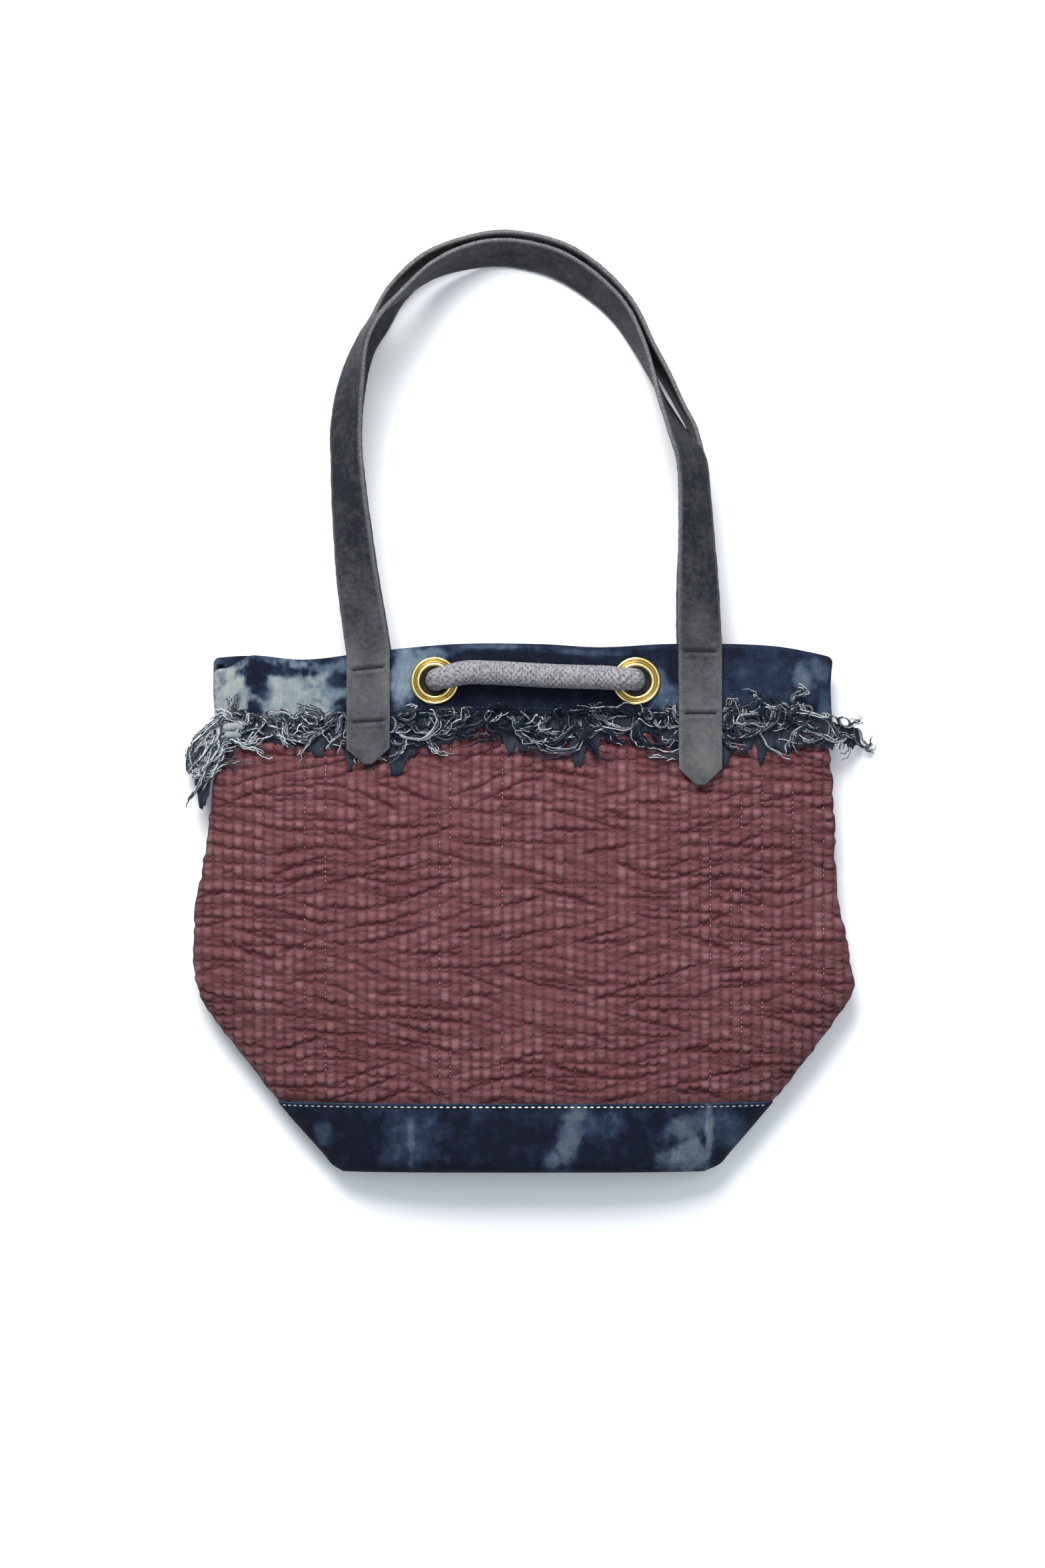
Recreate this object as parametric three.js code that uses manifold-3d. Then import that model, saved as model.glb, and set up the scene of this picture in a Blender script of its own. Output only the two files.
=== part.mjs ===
// Tote bag lying on its back: a quilted body on a boxed denim base, a denim band with a frayed
// lower edge round the mouth, two brass eyelets joined by a rope, and two leather handles that
// are laid out above the mouth. Millimetres: X to the right, +Y from the base towards the
// handles, +Z up from the table. The origin is on the flat back, where the bag rests.
import * as THREE from 'three';
import Module from 'manifold-3d';
import { mergeVertices } from 'three/addons/utils/BufferGeometryUtils.js';

const wasm = await Module();
wasm.setup();

// Body
const bodyWidth = 397;
const bodyHeight = 316;
const bellyDepth = 44;
const mouthDepth = 28;
const baseDepth = 38;
const baseEdge = 9;
const restHeight = 120;

// Walls and clearances
const quiltWall = 3;
const denimWall = 2.2;
const facingWall = 1.5;
const leatherWall = 3;
const gap = 0.3;
const seatGap = 0.5;
const tableGap = 0.4;

// Denim base, denim band and frayed edge
const baseHeight = 42;
const quiltLap = 12;
const seamPinch = 6;
const bandHeight = 43;
const foldRound = 1.5;
const fringeWall = 2;
const fringeGap = 0.6;
const fringeLength = 36;
const fringeLocks = 34;
const backFringeLocks = 22;

// Eyelets and rope
const eyeletSpacing = 120;
const eyeletCentre = 7.3;
const eyeletDown = 21.5;
const eyeletOuter = 29;
const eyeletBore = 17;
const barrelWall = 0.7;
const washerWidth = 26;
const washerWall = 1.1;
const rollHeight = 2.2;
const ropeDiameter = 14.4;
const ropeBend = 8.6;
const ropeLean = 0.75;
const ropeRise = 4.5;
const knotWidth = 22;
const knotDepth = 11;

// Handles
const strapWidth = 26;
const handleDrop = 237;
const handleSpacing = 198;
const handleCentre = 6.6;
const frontTabLengths = [70, 83];
const backTabLength = 76;
const tabPoint = 10;
const tabTipWidth = 5;

// Half outline of the body, lying flat. up is a share of bodyHeight, left and right are
// shares of half of bodyWidth. The lower rows are the slanting sides of the box base.
const outline = [
  { up: 0.000, left: -0.545, right: 0.548 },
  { up: 0.012, left: -0.577, right: 0.592 },
  { up: 0.030, left: -0.600, right: 0.618 },
  { up: 0.104, left: -0.705, right: 0.719 },
  { up: 0.199, left: -0.826, right: 0.842 },
  { up: 0.294, left: -0.941, right: 0.953 },
  { up: 0.342, left: -0.984, right: 1.000 },
  { up: 0.389, left: -0.997, right: 0.993 },
  { up: 0.446, left: -0.999, right: 0.979 },
  { up: 0.510, left: -0.992, right: 0.955 },
  { up: 0.579, left: -0.971, right: 0.947 },
  { up: 0.711, left: -0.943, right: 0.939 },
  { up: 0.844, left: -0.920, right: 0.925 },
  { up: 0.940, left: -0.925, right: 0.918 },
  { up: 1.000, left: -0.925, right: 0.925 },
];

// Sag of the mouth edge below bodyHeight. across is a share of half of bodyWidth, drop a
// share of bodyHeight. The front panel's left corner is also turned down.
const mouthEdge = [
  { across: -1.000, drop: 0.030 },
  { across: -0.836, drop: 0.020 },
  { across: -0.655, drop: 0.029 },
  { across: -0.450, drop: 0.014 },
  { across: -0.200, drop: 0.000 },
  { across: 0.050, drop: 0.000 },
  { across: 0.230, drop: 0.006 },
  { across: 0.430, drop: 0.000 },
  { across: 0.650, drop: 0.000 },
  { across: 0.790, drop: 0.006 },
  { across: 1.000, drop: 0.032 },
];
const turnedCorner = { across: -0.900, wide: 0.090, drop: 0.022 };

// Broad folds and dents of the front. across and wide are shares of half of bodyWidth, up
// and tall shares of bodyHeight, height a share of bellyDepth.
const folds = [
  { across: -0.62, up: 0.58, wide: 0.15, tall: 0.20, height: 0.045 },
  { across: -0.12, up: 0.60, wide: 0.15, tall: 0.22, height: 0.055 },
  { across: 0.34, up: 0.42, wide: 0.16, tall: 0.17, height: 0.045 },
  { across: -0.70, up: 0.24, wide: 0.18, tall: 0.08, height: -0.050 },
  { across: 0.10, up: 0.36, wide: 0.16, tall: 0.14, height: -0.040 },
  { across: 0.76, up: 0.40, wide: 0.14, tall: 0.16, height: -0.050 },
];

// Lengths of the frayed locks. across is a share of half of bodyWidth, reach of fringeLength.
const frayedFront = [
  { across: -1.00, reach: 1.30 },
  { across: -0.93, reach: 1.42 },
  { across: -0.86, reach: 0.67 },
  { across: -0.74, reach: 0.47 },
  { across: -0.58, reach: 0.80 },
  { across: -0.45, reach: 1.00 },
  { across: -0.35, reach: 0.95 },
  { across: -0.25, reach: 0.60 },
  { across: -0.11, reach: 0.40 },
  { across: -0.03, reach: 0.72 },
  { across: 0.08, reach: 0.42 },
  { across: 0.16, reach: 0.95 },
  { across: 0.24, reach: 0.55 },
  { across: 0.40, reach: 0.62 },
  { across: 0.56, reach: 0.95 },
  { across: 0.68, reach: 0.83 },
  { across: 0.84, reach: 0.60 },
  { across: 0.95, reach: 0.62 },
  { across: 1.03, reach: 0.95 },
];
const frayedBack = [
  { across: -0.86, reach: 0.80 },
  { across: -0.40, reach: 0.60 },
  { across: 0.10, reach: 0.80 },
  { across: 0.55, reach: 0.55 },
  { across: 0.86, reach: 0.80 },
];

// Routes of the handles from the left end of the mouth to the right. across is a share of
// half of handleSpacing from the middle, up a share of handleDrop above the mouth. roll is
// the turn of the strap about its length: 0 lies flat, 90 stands on edge, more leans outward.
// rise is the height of its lower edge above the table, as a share of strapWidth.
const frontRoute = [
  { across: -1.077, up: 0.197, roll: 25, rise: 1.18 },
  { across: -1.129, up: 0.450, roll: 44, rise: 1.08 },
  { across: -1.133, up: 0.551, roll: 46, rise: 1.08 },
  { across: -1.101, up: 0.653, roll: 55, rise: 1.10 },
  { across: -1.040, up: 0.754, roll: 72, rise: 1.09 },
  { across: -0.952, up: 0.818, roll: 81, rise: 1.06 },
  { across: -0.814, up: 0.877, roll: 90, rise: 0.84 },
  { across: -0.612, up: 0.947, roll: 102, rise: 0.47 },
  { across: -0.410, up: 0.983, roll: 114, rise: 0.20 },
  { across: -0.180, up: 0.997, roll: 121, rise: 0.01 },
  { across: 0.119, up: 0.971, roll: 122, rise: 0.01 },
  { across: 0.334, up: 0.918, roll: 119, rise: 0.01 },
  { across: 0.514, up: 0.848, roll: 113, rise: 0.02 },
  { across: 0.635, up: 0.763, roll: 103, rise: 0.08 },
  { across: 0.738, up: 0.664, roll: 89, rise: 0.24 },
  { across: 0.800, up: 0.602, roll: 77, rise: 0.50 },
  { across: 0.853, up: 0.551, roll: 69, rise: 0.78 },
  { across: 0.912, up: 0.500, roll: 55, rise: 1.02 },
  { across: 0.952, up: 0.450, roll: 46, rise: 1.07 },
  { across: 0.968, up: 0.349, roll: 42, rise: 1.09 },
  { across: 0.984, up: 0.197, roll: 27, rise: 1.17 },
];
const backRoute = [
  { across: -1.075, up: 0.197, roll: 152 },
  { across: -1.129, up: 0.450, roll: 130 },
  { across: -1.131, up: 0.551, roll: 124 },
  { across: -1.100, up: 0.653, roll: 118 },
  { across: -1.032, up: 0.754, roll: 113 },
  { across: -0.940, up: 0.818, roll: 112 },
  { across: -0.838, up: 0.892, roll: 113 },
  { across: -0.640, up: 0.968, roll: 114 },
  { across: -0.420, up: 1.004, roll: 116 },
  { across: -0.180, up: 1.018, roll: 120 },
  { across: 0.139, up: 0.992, roll: 121 },
  { across: 0.370, up: 0.934, roll: 118 },
  { across: 0.563, up: 0.854, roll: 111 },
  { across: 0.695, up: 0.754, roll: 104 },
  { across: 0.800, up: 0.680, roll: 99 },
  { across: 0.896, up: 0.602, roll: 95 },
  { across: 0.957, up: 0.551, roll: 96 },
  { across: 0.975, up: 0.500, roll: 105 },
  { across: 0.980, up: 0.450, roll: 115 },
  { across: 0.990, up: 0.349, roll: 128 },
  { across: 0.990, up: 0.197, roll: 151 },
];

// Numbers of columns and stations
const columns = 22;
const arcSides = 18;
const ropeSides = 8;
const ropeSteps = 32;
const routeSteps = 3;
const lowPitch = 30;
const topPitch = 12;
const topShare = 0.75;
const tabPitch = 8;

// Sections of the body
const seamShare = 0.4;
const frontSquare = 3;
const frontRound = 0.556;
const flatShare = 0.8;
const foldSlope = 0.35;
const droopSlope = 0.8;
const shoulder = 6;

// Stretches of bodyHeight, as shares, over which one shape passes into the next
const bellyRise = { from: 0, to: 0.35 };
const mouthThin = { from: 0.45, to: 0.95 };
const backRise = { from: 0.5, to: 0.74 };
const edgeSag = { from: 0.72, to: 1 };
const cornerSag = { from: 0.88, to: 1 };

const bandOuter = gap + denimWall;
const facingInner = quiltWall + gap + facingWall;
const tabInner = bandOuter + seatGap;
const backLift = tabInner + leatherWall + tableGap;
const halfWidth = bodyWidth / 2;
const bandLow = bodyHeight - bandHeight;

function mix(a, b, share) {
  return a + (b - a) * share;
}

function smooth(value) {
  const share = Math.min(1, Math.max(0, value));
  return share * share * (3 - 2 * share);
}

// Share of a stretch that is passed at a height, eased at both ends.
function passed(stretch, height) {
  return smooth((height / bodyHeight - stretch.from) / (stretch.to - stretch.from));
}

// Value of one column of a table at a place along another, through a smooth cubic.
function readRows(rows, along, key, at) {
  const last = rows.length - 1;
  let i = 0;
  while (i < last - 1 && at > rows[i + 1][along]) i += 1;
  const before = rows[Math.max(0, i - 1)];
  const start = rows[i];
  const end = rows[i + 1];
  const after = rows[Math.min(last, i + 2)];
  const step = end[along] - start[along];
  const share = Math.min(1, Math.max(0, (at - start[along]) / step));
  const slopeStart = (end[key] - before[key]) / (end[along] - before[along]) * step;
  const slopeEnd = (after[key] - start[key]) / (after[along] - start[along]) * step;
  const square = share * share;
  const cube = square * share;
  return start[key] * (2 * cube - 3 * square + 1) + slopeStart * (cube - 2 * square + share)
    + end[key] * (3 * square - 2 * cube) + slopeEnd * (cube - square);
}

// Rounding of the bottom edges: how far the walls stand in at this height.
function edgeInset(height) {
  const below = Math.max(0, baseEdge - height);
  return baseEdge - Math.sqrt(baseEdge * baseEdge - below * below);
}

// Section of the body at a height, grown outwards by offset on every side.
function sectionAt(height, offset) {
  const share = height / bodyHeight;
  const left = readRows(outline, 'up', 'left', share) * halfWidth - offset;
  const right = readRows(outline, 'up', 'right', share) * halfWidth + offset;
  const filled = mix(baseDepth, bellyDepth, passed(bellyRise, height));
  const depth = mix(filled, mouthDepth, passed(mouthThin, height));
  const inset = edgeInset(height) - offset;
  const low = backLift * passed(backRise, height) + inset;
  const high = low + depth - 2 * inset;
  return { left, right, low, high, seam: mix(low, high, seamShare) };
}

function foldAt(x, height) {
  let sum = 0;
  for (const fold of folds) {
    const across = (x / halfWidth - fold.across) / fold.wide;
    const up = (height / bodyHeight - fold.up) / fold.tall;
    sum += fold.height * bellyDepth * Math.exp(-across * across - up * up);
  }
  return sum;
}

// Drop of the mouth edge, faded out down the wall.
function sagAt(side, x, height) {
  const across = x / halfWidth;
  let drop = readRows(mouthEdge, 'across', 'drop', across);
  drop *= passed(edgeSag, height);
  if (side > 0) {
    const corner = smooth((turnedCorner.across - across) / turnedCorner.wide + 1);
    drop += turnedCorner.drop * corner * passed(cornerSag, height);
  }
  return -drop * bodyHeight;
}

// Height of the front (side 1) or back (side -1) wall over the table.
function wallZ(side, x, height, offset) {
  const section = sectionAt(height, offset);
  const half = (section.right - section.left) / 2;
  const from = Math.min(1, Math.abs(x - section.left - half) / half);
  if (side > 0) {
    const bulge = Math.pow(1 - Math.pow(from, frontSquare), frontRound);
    return mix(section.seam, section.high, bulge) + foldAt(x, height) * bulge;
  }
  const turn = Math.max(0, (from - flatShare) / (1 - flatShare));
  return mix(section.low, section.seam, 1 - Math.sqrt(Math.max(0, 1 - turn * turn)));
}

function wallPoint(side, x, height, offset) {
  return new THREE.Vector3(x, height + sagAt(side, x, height), wallZ(side, x, height, offset));
}

// Point of a wall by its place t across, from -1 at the left seam to 1 at the right one. The
// edges of the two walls stand half a gap off the seam line, face to face.
function panelPoint(side, t, height, offset) {
  const section = sectionAt(height, offset);
  const share = (1 + Math.sin(t * Math.PI / 2)) / 2;
  const point = wallPoint(side, mix(section.left, section.right, share), height, offset);
  const seam = sectionAt(height, 0).seam + side * gap / 2;
  point.z = side > 0 ? Math.max(point.z, seam) : Math.min(point.z, seam);
  return point;
}

// Triangles that fill a ring's flat outline, each in the ring's own sense.
function cellsOf(ring, flatten) {
  const flat = ring.map(flatten);
  const turn = Math.sign(THREE.ShapeUtils.area(flat));
  return THREE.ShapeUtils.triangulateShape(flat, []).map(([a, b, c]) => {
    const face = Math.sign(THREE.ShapeUtils.area([flat[a], flat[b], flat[c]]));
    return face * turn > 0 ? [a, b, c] : [a, c, b];
  });
}

// Closed body through rings of equal count. The cells are the convex pieces that fill each
// end, as places in the ring in its own sense.
function loft(rings, startCells, endCells = startCells) {
  const count = rings[0].length;
  const last = rings.length - 1;
  const index = [];
  for (let i = 0; i < last; i += 1) {
    for (let j = 0; j < count; j += 1) {
      const next = (j + 1) % count;
      const a = i * count + j;
      const b = i * count + next;
      index.push(a, b, b + count, a, b + count, a + count);
    }
  }
  const fill = (cells, first) => cells.flatMap((cell) => {
    return cell.slice(2).flatMap((_, k) => [cell[0], cell[k + 1], cell[k + 2]]).map((j) => first + j);
  });
  index.push(...fill(startCells, 0).reverse(), ...fill(endCells, last * count));
  const geometry = new THREE.BufferGeometry().setFromPoints(rings.flat());
  geometry.setIndex(index);
  return facingOut(geometry);
}

// Turns a closed body's faces outwards when its signed volume is negative.
function facingOut(geometry) {
  const place = geometry.getAttribute('position');
  const index = geometry.getIndex().array;
  const [a, b, c] = [new THREE.Vector3(), new THREE.Vector3(), new THREE.Vector3()];
  let volume = 0;
  for (let i = 0; i < index.length; i += 3) {
    a.fromBufferAttribute(place, index[i]);
    b.fromBufferAttribute(place, index[i + 1]);
    c.fromBufferAttribute(place, index[i + 2]);
    volume += a.dot(b.cross(c));
  }
  if (volume > 0) return geometry;
  geometry.setIndex(Array.from(index).reverse());
  return geometry;
}

// Heights that all the layers share, closer together where the wall draws in to the mouth.
const levels = [bandLow, bodyHeight - foldRound];
for (let height = lowPitch; height < topShare * bodyHeight; height += lowPitch) levels.push(height);
for (let height = topShare * bodyHeight; height < bandLow; height += topPitch) levels.push(height);
for (let height = bandLow + topPitch; height < bodyHeight - foldRound; height += topPitch) {
  levels.push(height);
}
levels.sort((a, b) => a - b);

function stations(low, high) {
  return [low, ...levels.filter((height) => height > low + 1 && height < high - 1), high];
}

// Wall that carries a closed profile of heights and offsets from seam to seam.
function wallPanel(side, profile, cells) {
  const rings = [];
  for (let i = 0; i <= columns; i += 1) {
    const t = 2 * i / columns - 1;
    rings.push(profile.map((point) => panelPoint(side, t, point.height, point.offset)));
  }
  return loft(rings, cells);
}

// Quilted wall: thinned and set in where it is sewn under the denim base.
function quiltedWall(side) {
  const lapLow = baseHeight - quiltLap;
  const lapHigh = baseHeight + gap;
  const full = baseHeight + seamPinch;
  const top = bodyHeight - foldRound - gap - 1;
  const sunk = -denimWall - gap;
  const outer = stations(full, top).map((height) => ({ height, offset: 0 }));
  const inner = stations(full, top).reverse().map((height) => ({ height, offset: -quiltWall }));
  const profile = [
    { height: lapLow, offset: sunk }, { height: lapHigh, offset: sunk }, ...outer,
    ...inner, { height: lapHigh, offset: sunk - quiltWall / 2 },
    { height: lapLow, offset: sunk - quiltWall / 2 },
  ];
  const end = profile.length - 1;
  const cells = profile.slice(0, end / 2).map((_, k) => [k, k + 1, end - 1 - k, end - k]);
  return wallPanel(side, profile, cells);
}

// Denim band: outer wall, rounded fold over the mouth edge and facing inside.
function bandWall(side) {
  const outer = stations(bandLow, bodyHeight - foldRound);
  const inner = [...outer].reverse();
  const crown = bodyHeight - foldRound - gap;
  const middle = (bandOuter - facingInner) / 2;
  const profile = [
    ...outer.map((height) => ({ height, offset: bandOuter })),
    { height: bodyHeight, offset: middle },
    ...inner.map((height) => ({ height, offset: -facingInner })),
    { height: bandLow, offset: -quiltWall - gap },
    ...outer.slice(1, -1).map((height) => ({ height, offset: -quiltWall - gap })),
    { height: crown, offset: -quiltWall - gap },
    { height: crown, offset: gap },
    ...inner.slice(1).map((height) => ({ height, offset: gap })),
  ];
  const count = outer.length;
  const cells = [[count - 1, count, count + 1, 3 * count, 3 * count + 1]];
  for (let k = 0; k < count - 1; k += 1) {
    cells.push([k, k + 1, 4 * count - 1 - k, 4 * count - k]);
    cells.push([2 * count - 1 - k, 2 * count - k, 2 * count + 1 + k, 2 * count + 2 + k]);
  }
  return wallPanel(side, profile, cells);
}

// Closed ring of the body's section, front from left to right and back again.
function sectionRing(height, offset) {
  const ring = [];
  for (const side of [1, -1]) {
    for (let i = 0; i < columns; i += 1) {
      const t = side * (2 * i / columns - 1);
      const section = sectionAt(height, offset);
      const x = mix(section.left, section.right, (1 + Math.sin(t * Math.PI / 2)) / 2);
      ring.push(wallPoint(side, x, height, offset));
    }
  }
  return ring;
}

// Boxed denim base: one cup with a flat bottom and rounded edges.
function denimBase() {
  const turns = [0, 0.2, 1].map((share) => share * baseEdge);
  const heights = [...turns, baseHeight / 2, baseHeight - quiltLap, baseHeight];
  const inside = heights.slice(1).map((height) => sectionRing(Math.max(height, denimWall), -denimWall));
  const outside = heights.map((height) => sectionRing(height, 0)).reverse();
  const rings = [...inside, ...outside];
  const flatten = (point) => new THREE.Vector2(point.x, point.z);
  return loft(rings, cellsOf(rings[0], flatten), cellsOf(rings[rings.length - 1], flatten));
}

// Point of the frayed edge: it lies on the wall and droops past the side of the front.
function frayedPoint(side, x, height, offset) {
  const section = sectionAt(height, 0);
  const inset = side > 0 ? shoulder : 0;
  const edge = Math.min(section.right - inset, Math.max(section.left + inset, x));
  const point = wallPoint(side, edge, height, offset);
  const past = Math.abs(x - edge);
  point.x = x;
  point.z -= foldSlope * Math.min(past, inset) + droopSlope * Math.max(0, past - inset);
  return point;
}

// Frayed edge: locks of two columns each, a thin short one and a thick long one, fused along
// a backing under the band's lower edge.
function frayedEdge(side, rows, locks) {
  const left = rows[0].across * halfWidth;
  const right = rows[rows.length - 1].across * halfWidth;
  const run = [0, 0.35, 0.7, 1];
  const thick = [1, 1, 0.8, 0.4];
  const rings = [];
  for (let i = 0; i <= 2 * locks; i += 1) {
    const x = mix(left, right, i / (2 * locks));
    const full = i % 2 === 1;
    const uneven = 1 + 0.14 * Math.sin(2.4 * i);
    const reach = readRows(rows, 'across', 'reach', x / halfWidth) * fringeLength;
    const length = reach * (full ? uneven : 0.62);
    const wall = fringeWall * (full ? 1 : 0.6);
    const edges = sectionAt(bandLow, 0);
    const past = Math.max(0, edges.left + shoulder / 2 - x, x - edges.right + shoulder / 2);
    const top = bandLow - gap - past;
    const place = (share, out) => frayedPoint(side, x, top - share * length, fringeGap + out);
    const outer = run.map((share, k) => place(share, wall * thick[k]));
    const inner = run.map((share) => place(share, 0)).reverse();
    rings.push([...outer, ...inner]);
  }
  const end = 2 * run.length - 1;
  return loft(rings, run.slice(1).map((_, k) => [k, k + 1, end - 1 - k, end - k]));
}

// Places of the eyelets, with the way out through the front wall.
const eyelets = [-1, 1].map((end) => {
  const x = eyeletCentre + end * eyeletSpacing / 2;
  const height = bodyHeight - eyeletDown;
  const centre = wallPoint(1, x, height, 0);
  const along = wallPoint(1, x + 1, height, 0).sub(centre);
  const up = wallPoint(1, x, height + 1, 0).sub(centre);
  return { centre, out: along.cross(up).normalize() };
});

// Turned body on the eyelet's axis, from radii and distances out from the quilt's face.
function turnedAt(eyelet, profile) {
  const points = profile.map(([radius, out]) => new THREE.Vector2(radius, out));
  const turned = new THREE.LatheGeometry(points, arcSides);
  const turn = new THREE.Quaternion().setFromUnitVectors(new THREE.Vector3(0, 1, 0), eyelet.out);
  turned.applyQuaternion(turn).translate(...eyelet.centre);
  return turned;
}

// Brass eyelet: rolled flange with two ridges, barrel through the cloth and inner washer.
function eyeletRing(eyelet) {
  const bore = eyeletBore / 2;
  const barrel = bore + barrelWall;
  const rim = eyeletOuter / 2;
  const seat = bandOuter + seatGap;
  const clamp = -facingInner - seatGap;
  const wide = rim - bore;
  const washer = washerWidth / 2;
  const profile = [
    [bore, clamp - washerWall], [bore, seat + 0.5 * rollHeight], [bore + 0.12 * wide, seat + 0.88 * rollHeight],
    [bore + 0.27 * wide, seat + rollHeight], [bore + 0.44 * wide, seat + 0.8 * rollHeight],
    [bore + 0.53 * wide, seat + 0.5 * rollHeight], [bore + 0.66 * wide, seat + 0.72 * rollHeight],
    [bore + 0.84 * wide, seat + 0.66 * rollHeight], [rim, seat + 0.25 * rollHeight], [rim - 0.3, seat],
    [barrel, seat], [barrel, clamp], [washer, clamp], [washer, clamp - washerWall],
    [bore, clamp - washerWall],
  ];
  return merged(turnedAt(eyelet, profile));
}

// Closed mesh with its shared points merged and only its places kept.
function merged(geometry) {
  const bare = new THREE.BufferGeometry();
  bare.setAttribute('position', geometry.getAttribute('position'));
  bare.setIndex(geometry.getIndex());
  return facingOut(mergeVertices(bare, 1e-4));
}

function toSolid(geometry) {
  const clean = merged(geometry);
  const vertProperties = new Float32Array(clean.getAttribute('position').array);
  const triVerts = new Uint32Array(clean.getIndex().array);
  return new wasm.Manifold(new wasm.Mesh({ numProp: 3, vertProperties, triVerts }));
}

function toGeometry(solid) {
  const mesh = solid.getMesh();
  const geometry = new THREE.BufferGeometry();
  geometry.setAttribute('position', new THREE.BufferAttribute(mesh.vertProperties, 3));
  geometry.setIndex(new THREE.BufferAttribute(mesh.triVerts, 1));
  return geometry;
}

// Round holes for the eyelets' barrels.
function pierced(geometry) {
  const radius = eyeletBore / 2 + barrelWall + gap;
  const reach = facingInner + bandOuter + rollHeight;
  let solid = toSolid(geometry);
  for (const eyelet of eyelets) {
    const punch = turnedAt(eyelet, [[0, -reach], [radius, -reach], [radius, reach], [0, reach]]);
    solid = solid.subtract(toSolid(punch));
  }
  return toGeometry(solid);
}

// Rope in front of the band, in through both eyelets, with a flat stop knot inside each.
function ropeAndKnots() {
  const radius = ropeDiameter / 2;
  const bendStart = bandOuter + seatGap + rollHeight + gap;
  const knotOut = -(facingInner + seatGap + washerWall + gap + knotDepth / 2);
  const restOut = bandOuter + gap + radius;
  const [left, right] = eyelets;
  const onAxis = (eyelet, out) => eyelet.centre.clone().addScaledVector(eyelet.out, out);
  const onBand = (share, rise) => {
    const x = mix(left.centre.x, right.centre.x, share);
    const point = wallPoint(1, x, bodyHeight - eyeletDown, 0);
    const middle = 1 - Math.pow(Math.abs(2 * share - 1), 4);
    point.y += rise;
    point.z += mix(bendStart + ropeBend, restOut + gap, middle);
    return point;
  };
  const leaning = (eyelet, end, out, share) => {
    const point = onAxis(eyelet, out);
    point.x -= end * share * ropeLean;
    point.y += 0.4 * share * ropeLean;
    return point;
  };
  const bendMiddle = bendStart + 0.42 * ropeBend;
  const points = [
    onAxis(left, knotOut), onAxis(left, knotOut / 2), leaning(left, -1, 0.3 * bendStart, 1),
    leaning(left, -1, bendMiddle, 2.2), onBand(0.072, 0.45 * ropeRise),
    onBand(0.15, 0.85 * ropeRise), onBand(0.34, 0.75 * ropeRise), onBand(0.52, 0.55 * ropeRise),
    onBand(0.7, 0.6 * ropeRise), onBand(0.85, 0.6 * ropeRise), onBand(0.928, 0.35 * ropeRise),
    leaning(right, 1, bendMiddle, 2.2), leaning(right, 1, 0.3 * bendStart, 1),
    onAxis(right, knotOut / 2), onAxis(right, knotOut),
  ];
  const route = new THREE.CatmullRomCurve3(points);
  const round = new THREE.Shape();
  for (let i = 0; i < ropeSides; i += 1) {
    const angle = 2 * Math.PI * i / ropeSides;
    const place = [radius * Math.cos(angle), radius * Math.sin(angle)];
    if (i === 0) round.moveTo(...place);
    else round.lineTo(...place);
  }
  const options = { steps: ropeSteps, extrudePath: route, bevelEnabled: false };
  let solid = toSolid(new THREE.ExtrudeGeometry(round, options));
  for (const eyelet of eyelets) {
    const knot = [-1, -0.8, -0.3, 0.3, 0.8, 1].map((share) => {
      const wide = Math.pow(1 - Math.pow(Math.abs(share), 3), 0.6);
      return [wide * knotWidth / 2, knotOut + share * knotDepth / 2];
    });
    solid = solid.add(toSolid(turnedAt(eyelet, knot)));
  }
  return toGeometry(solid);
}

// Section of a strap: its middle, the way across its width and the way out of its face.
function strapStation(middle, across, out, width) {
  const ring = [];
  for (const [w, n] of [[-1, -1], [1, -1], [1, 1], [-1, 1]]) {
    const corner = middle.clone().addScaledVector(across, w * width / 2);
    ring.push(corner.addScaledVector(out, n * leatherWall / 2));
  }
  return ring;
}

// Sewn tab, from its point up to the mouth, flat on the band and the frayed edge.
function tabStations(side, x, length) {
  const top = bodyHeight - foldRound;
  const tip = top - length;
  const offset = tabInner + leatherWall / 2;
  const heights = [tip, tip + tabPoint / 2, tip + tabPoint];
  const steps = Math.ceil((length - tabPoint) / tabPitch);
  for (let i = 1; i <= steps; i += 1) heights.push(mix(tip + tabPoint, top, i / steps));
  return heights.map((height) => {
    const middle = wallPoint(side, x, height, offset);
    const along = wallPoint(side, x, height + 1, offset).sub(middle).normalize();
    const across = wallPoint(side, x + 1, height, offset).sub(middle).normalize();
    const out = across.clone().cross(along).multiplyScalar(side).normalize();
    const width = mix(tabTipWidth, strapWidth, Math.min(1, (height - tip) / tabPoint));
    return { middle, along, across, out, width };
  });
}

// Height of a strap's middle that puts its lower edge on the table.
function restingMiddle(roll) {
  return tableGap + Math.abs(Math.sin(roll)) * strapWidth / 2 + Math.abs(Math.cos(roll)) * leatherWall / 2;
}

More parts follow.
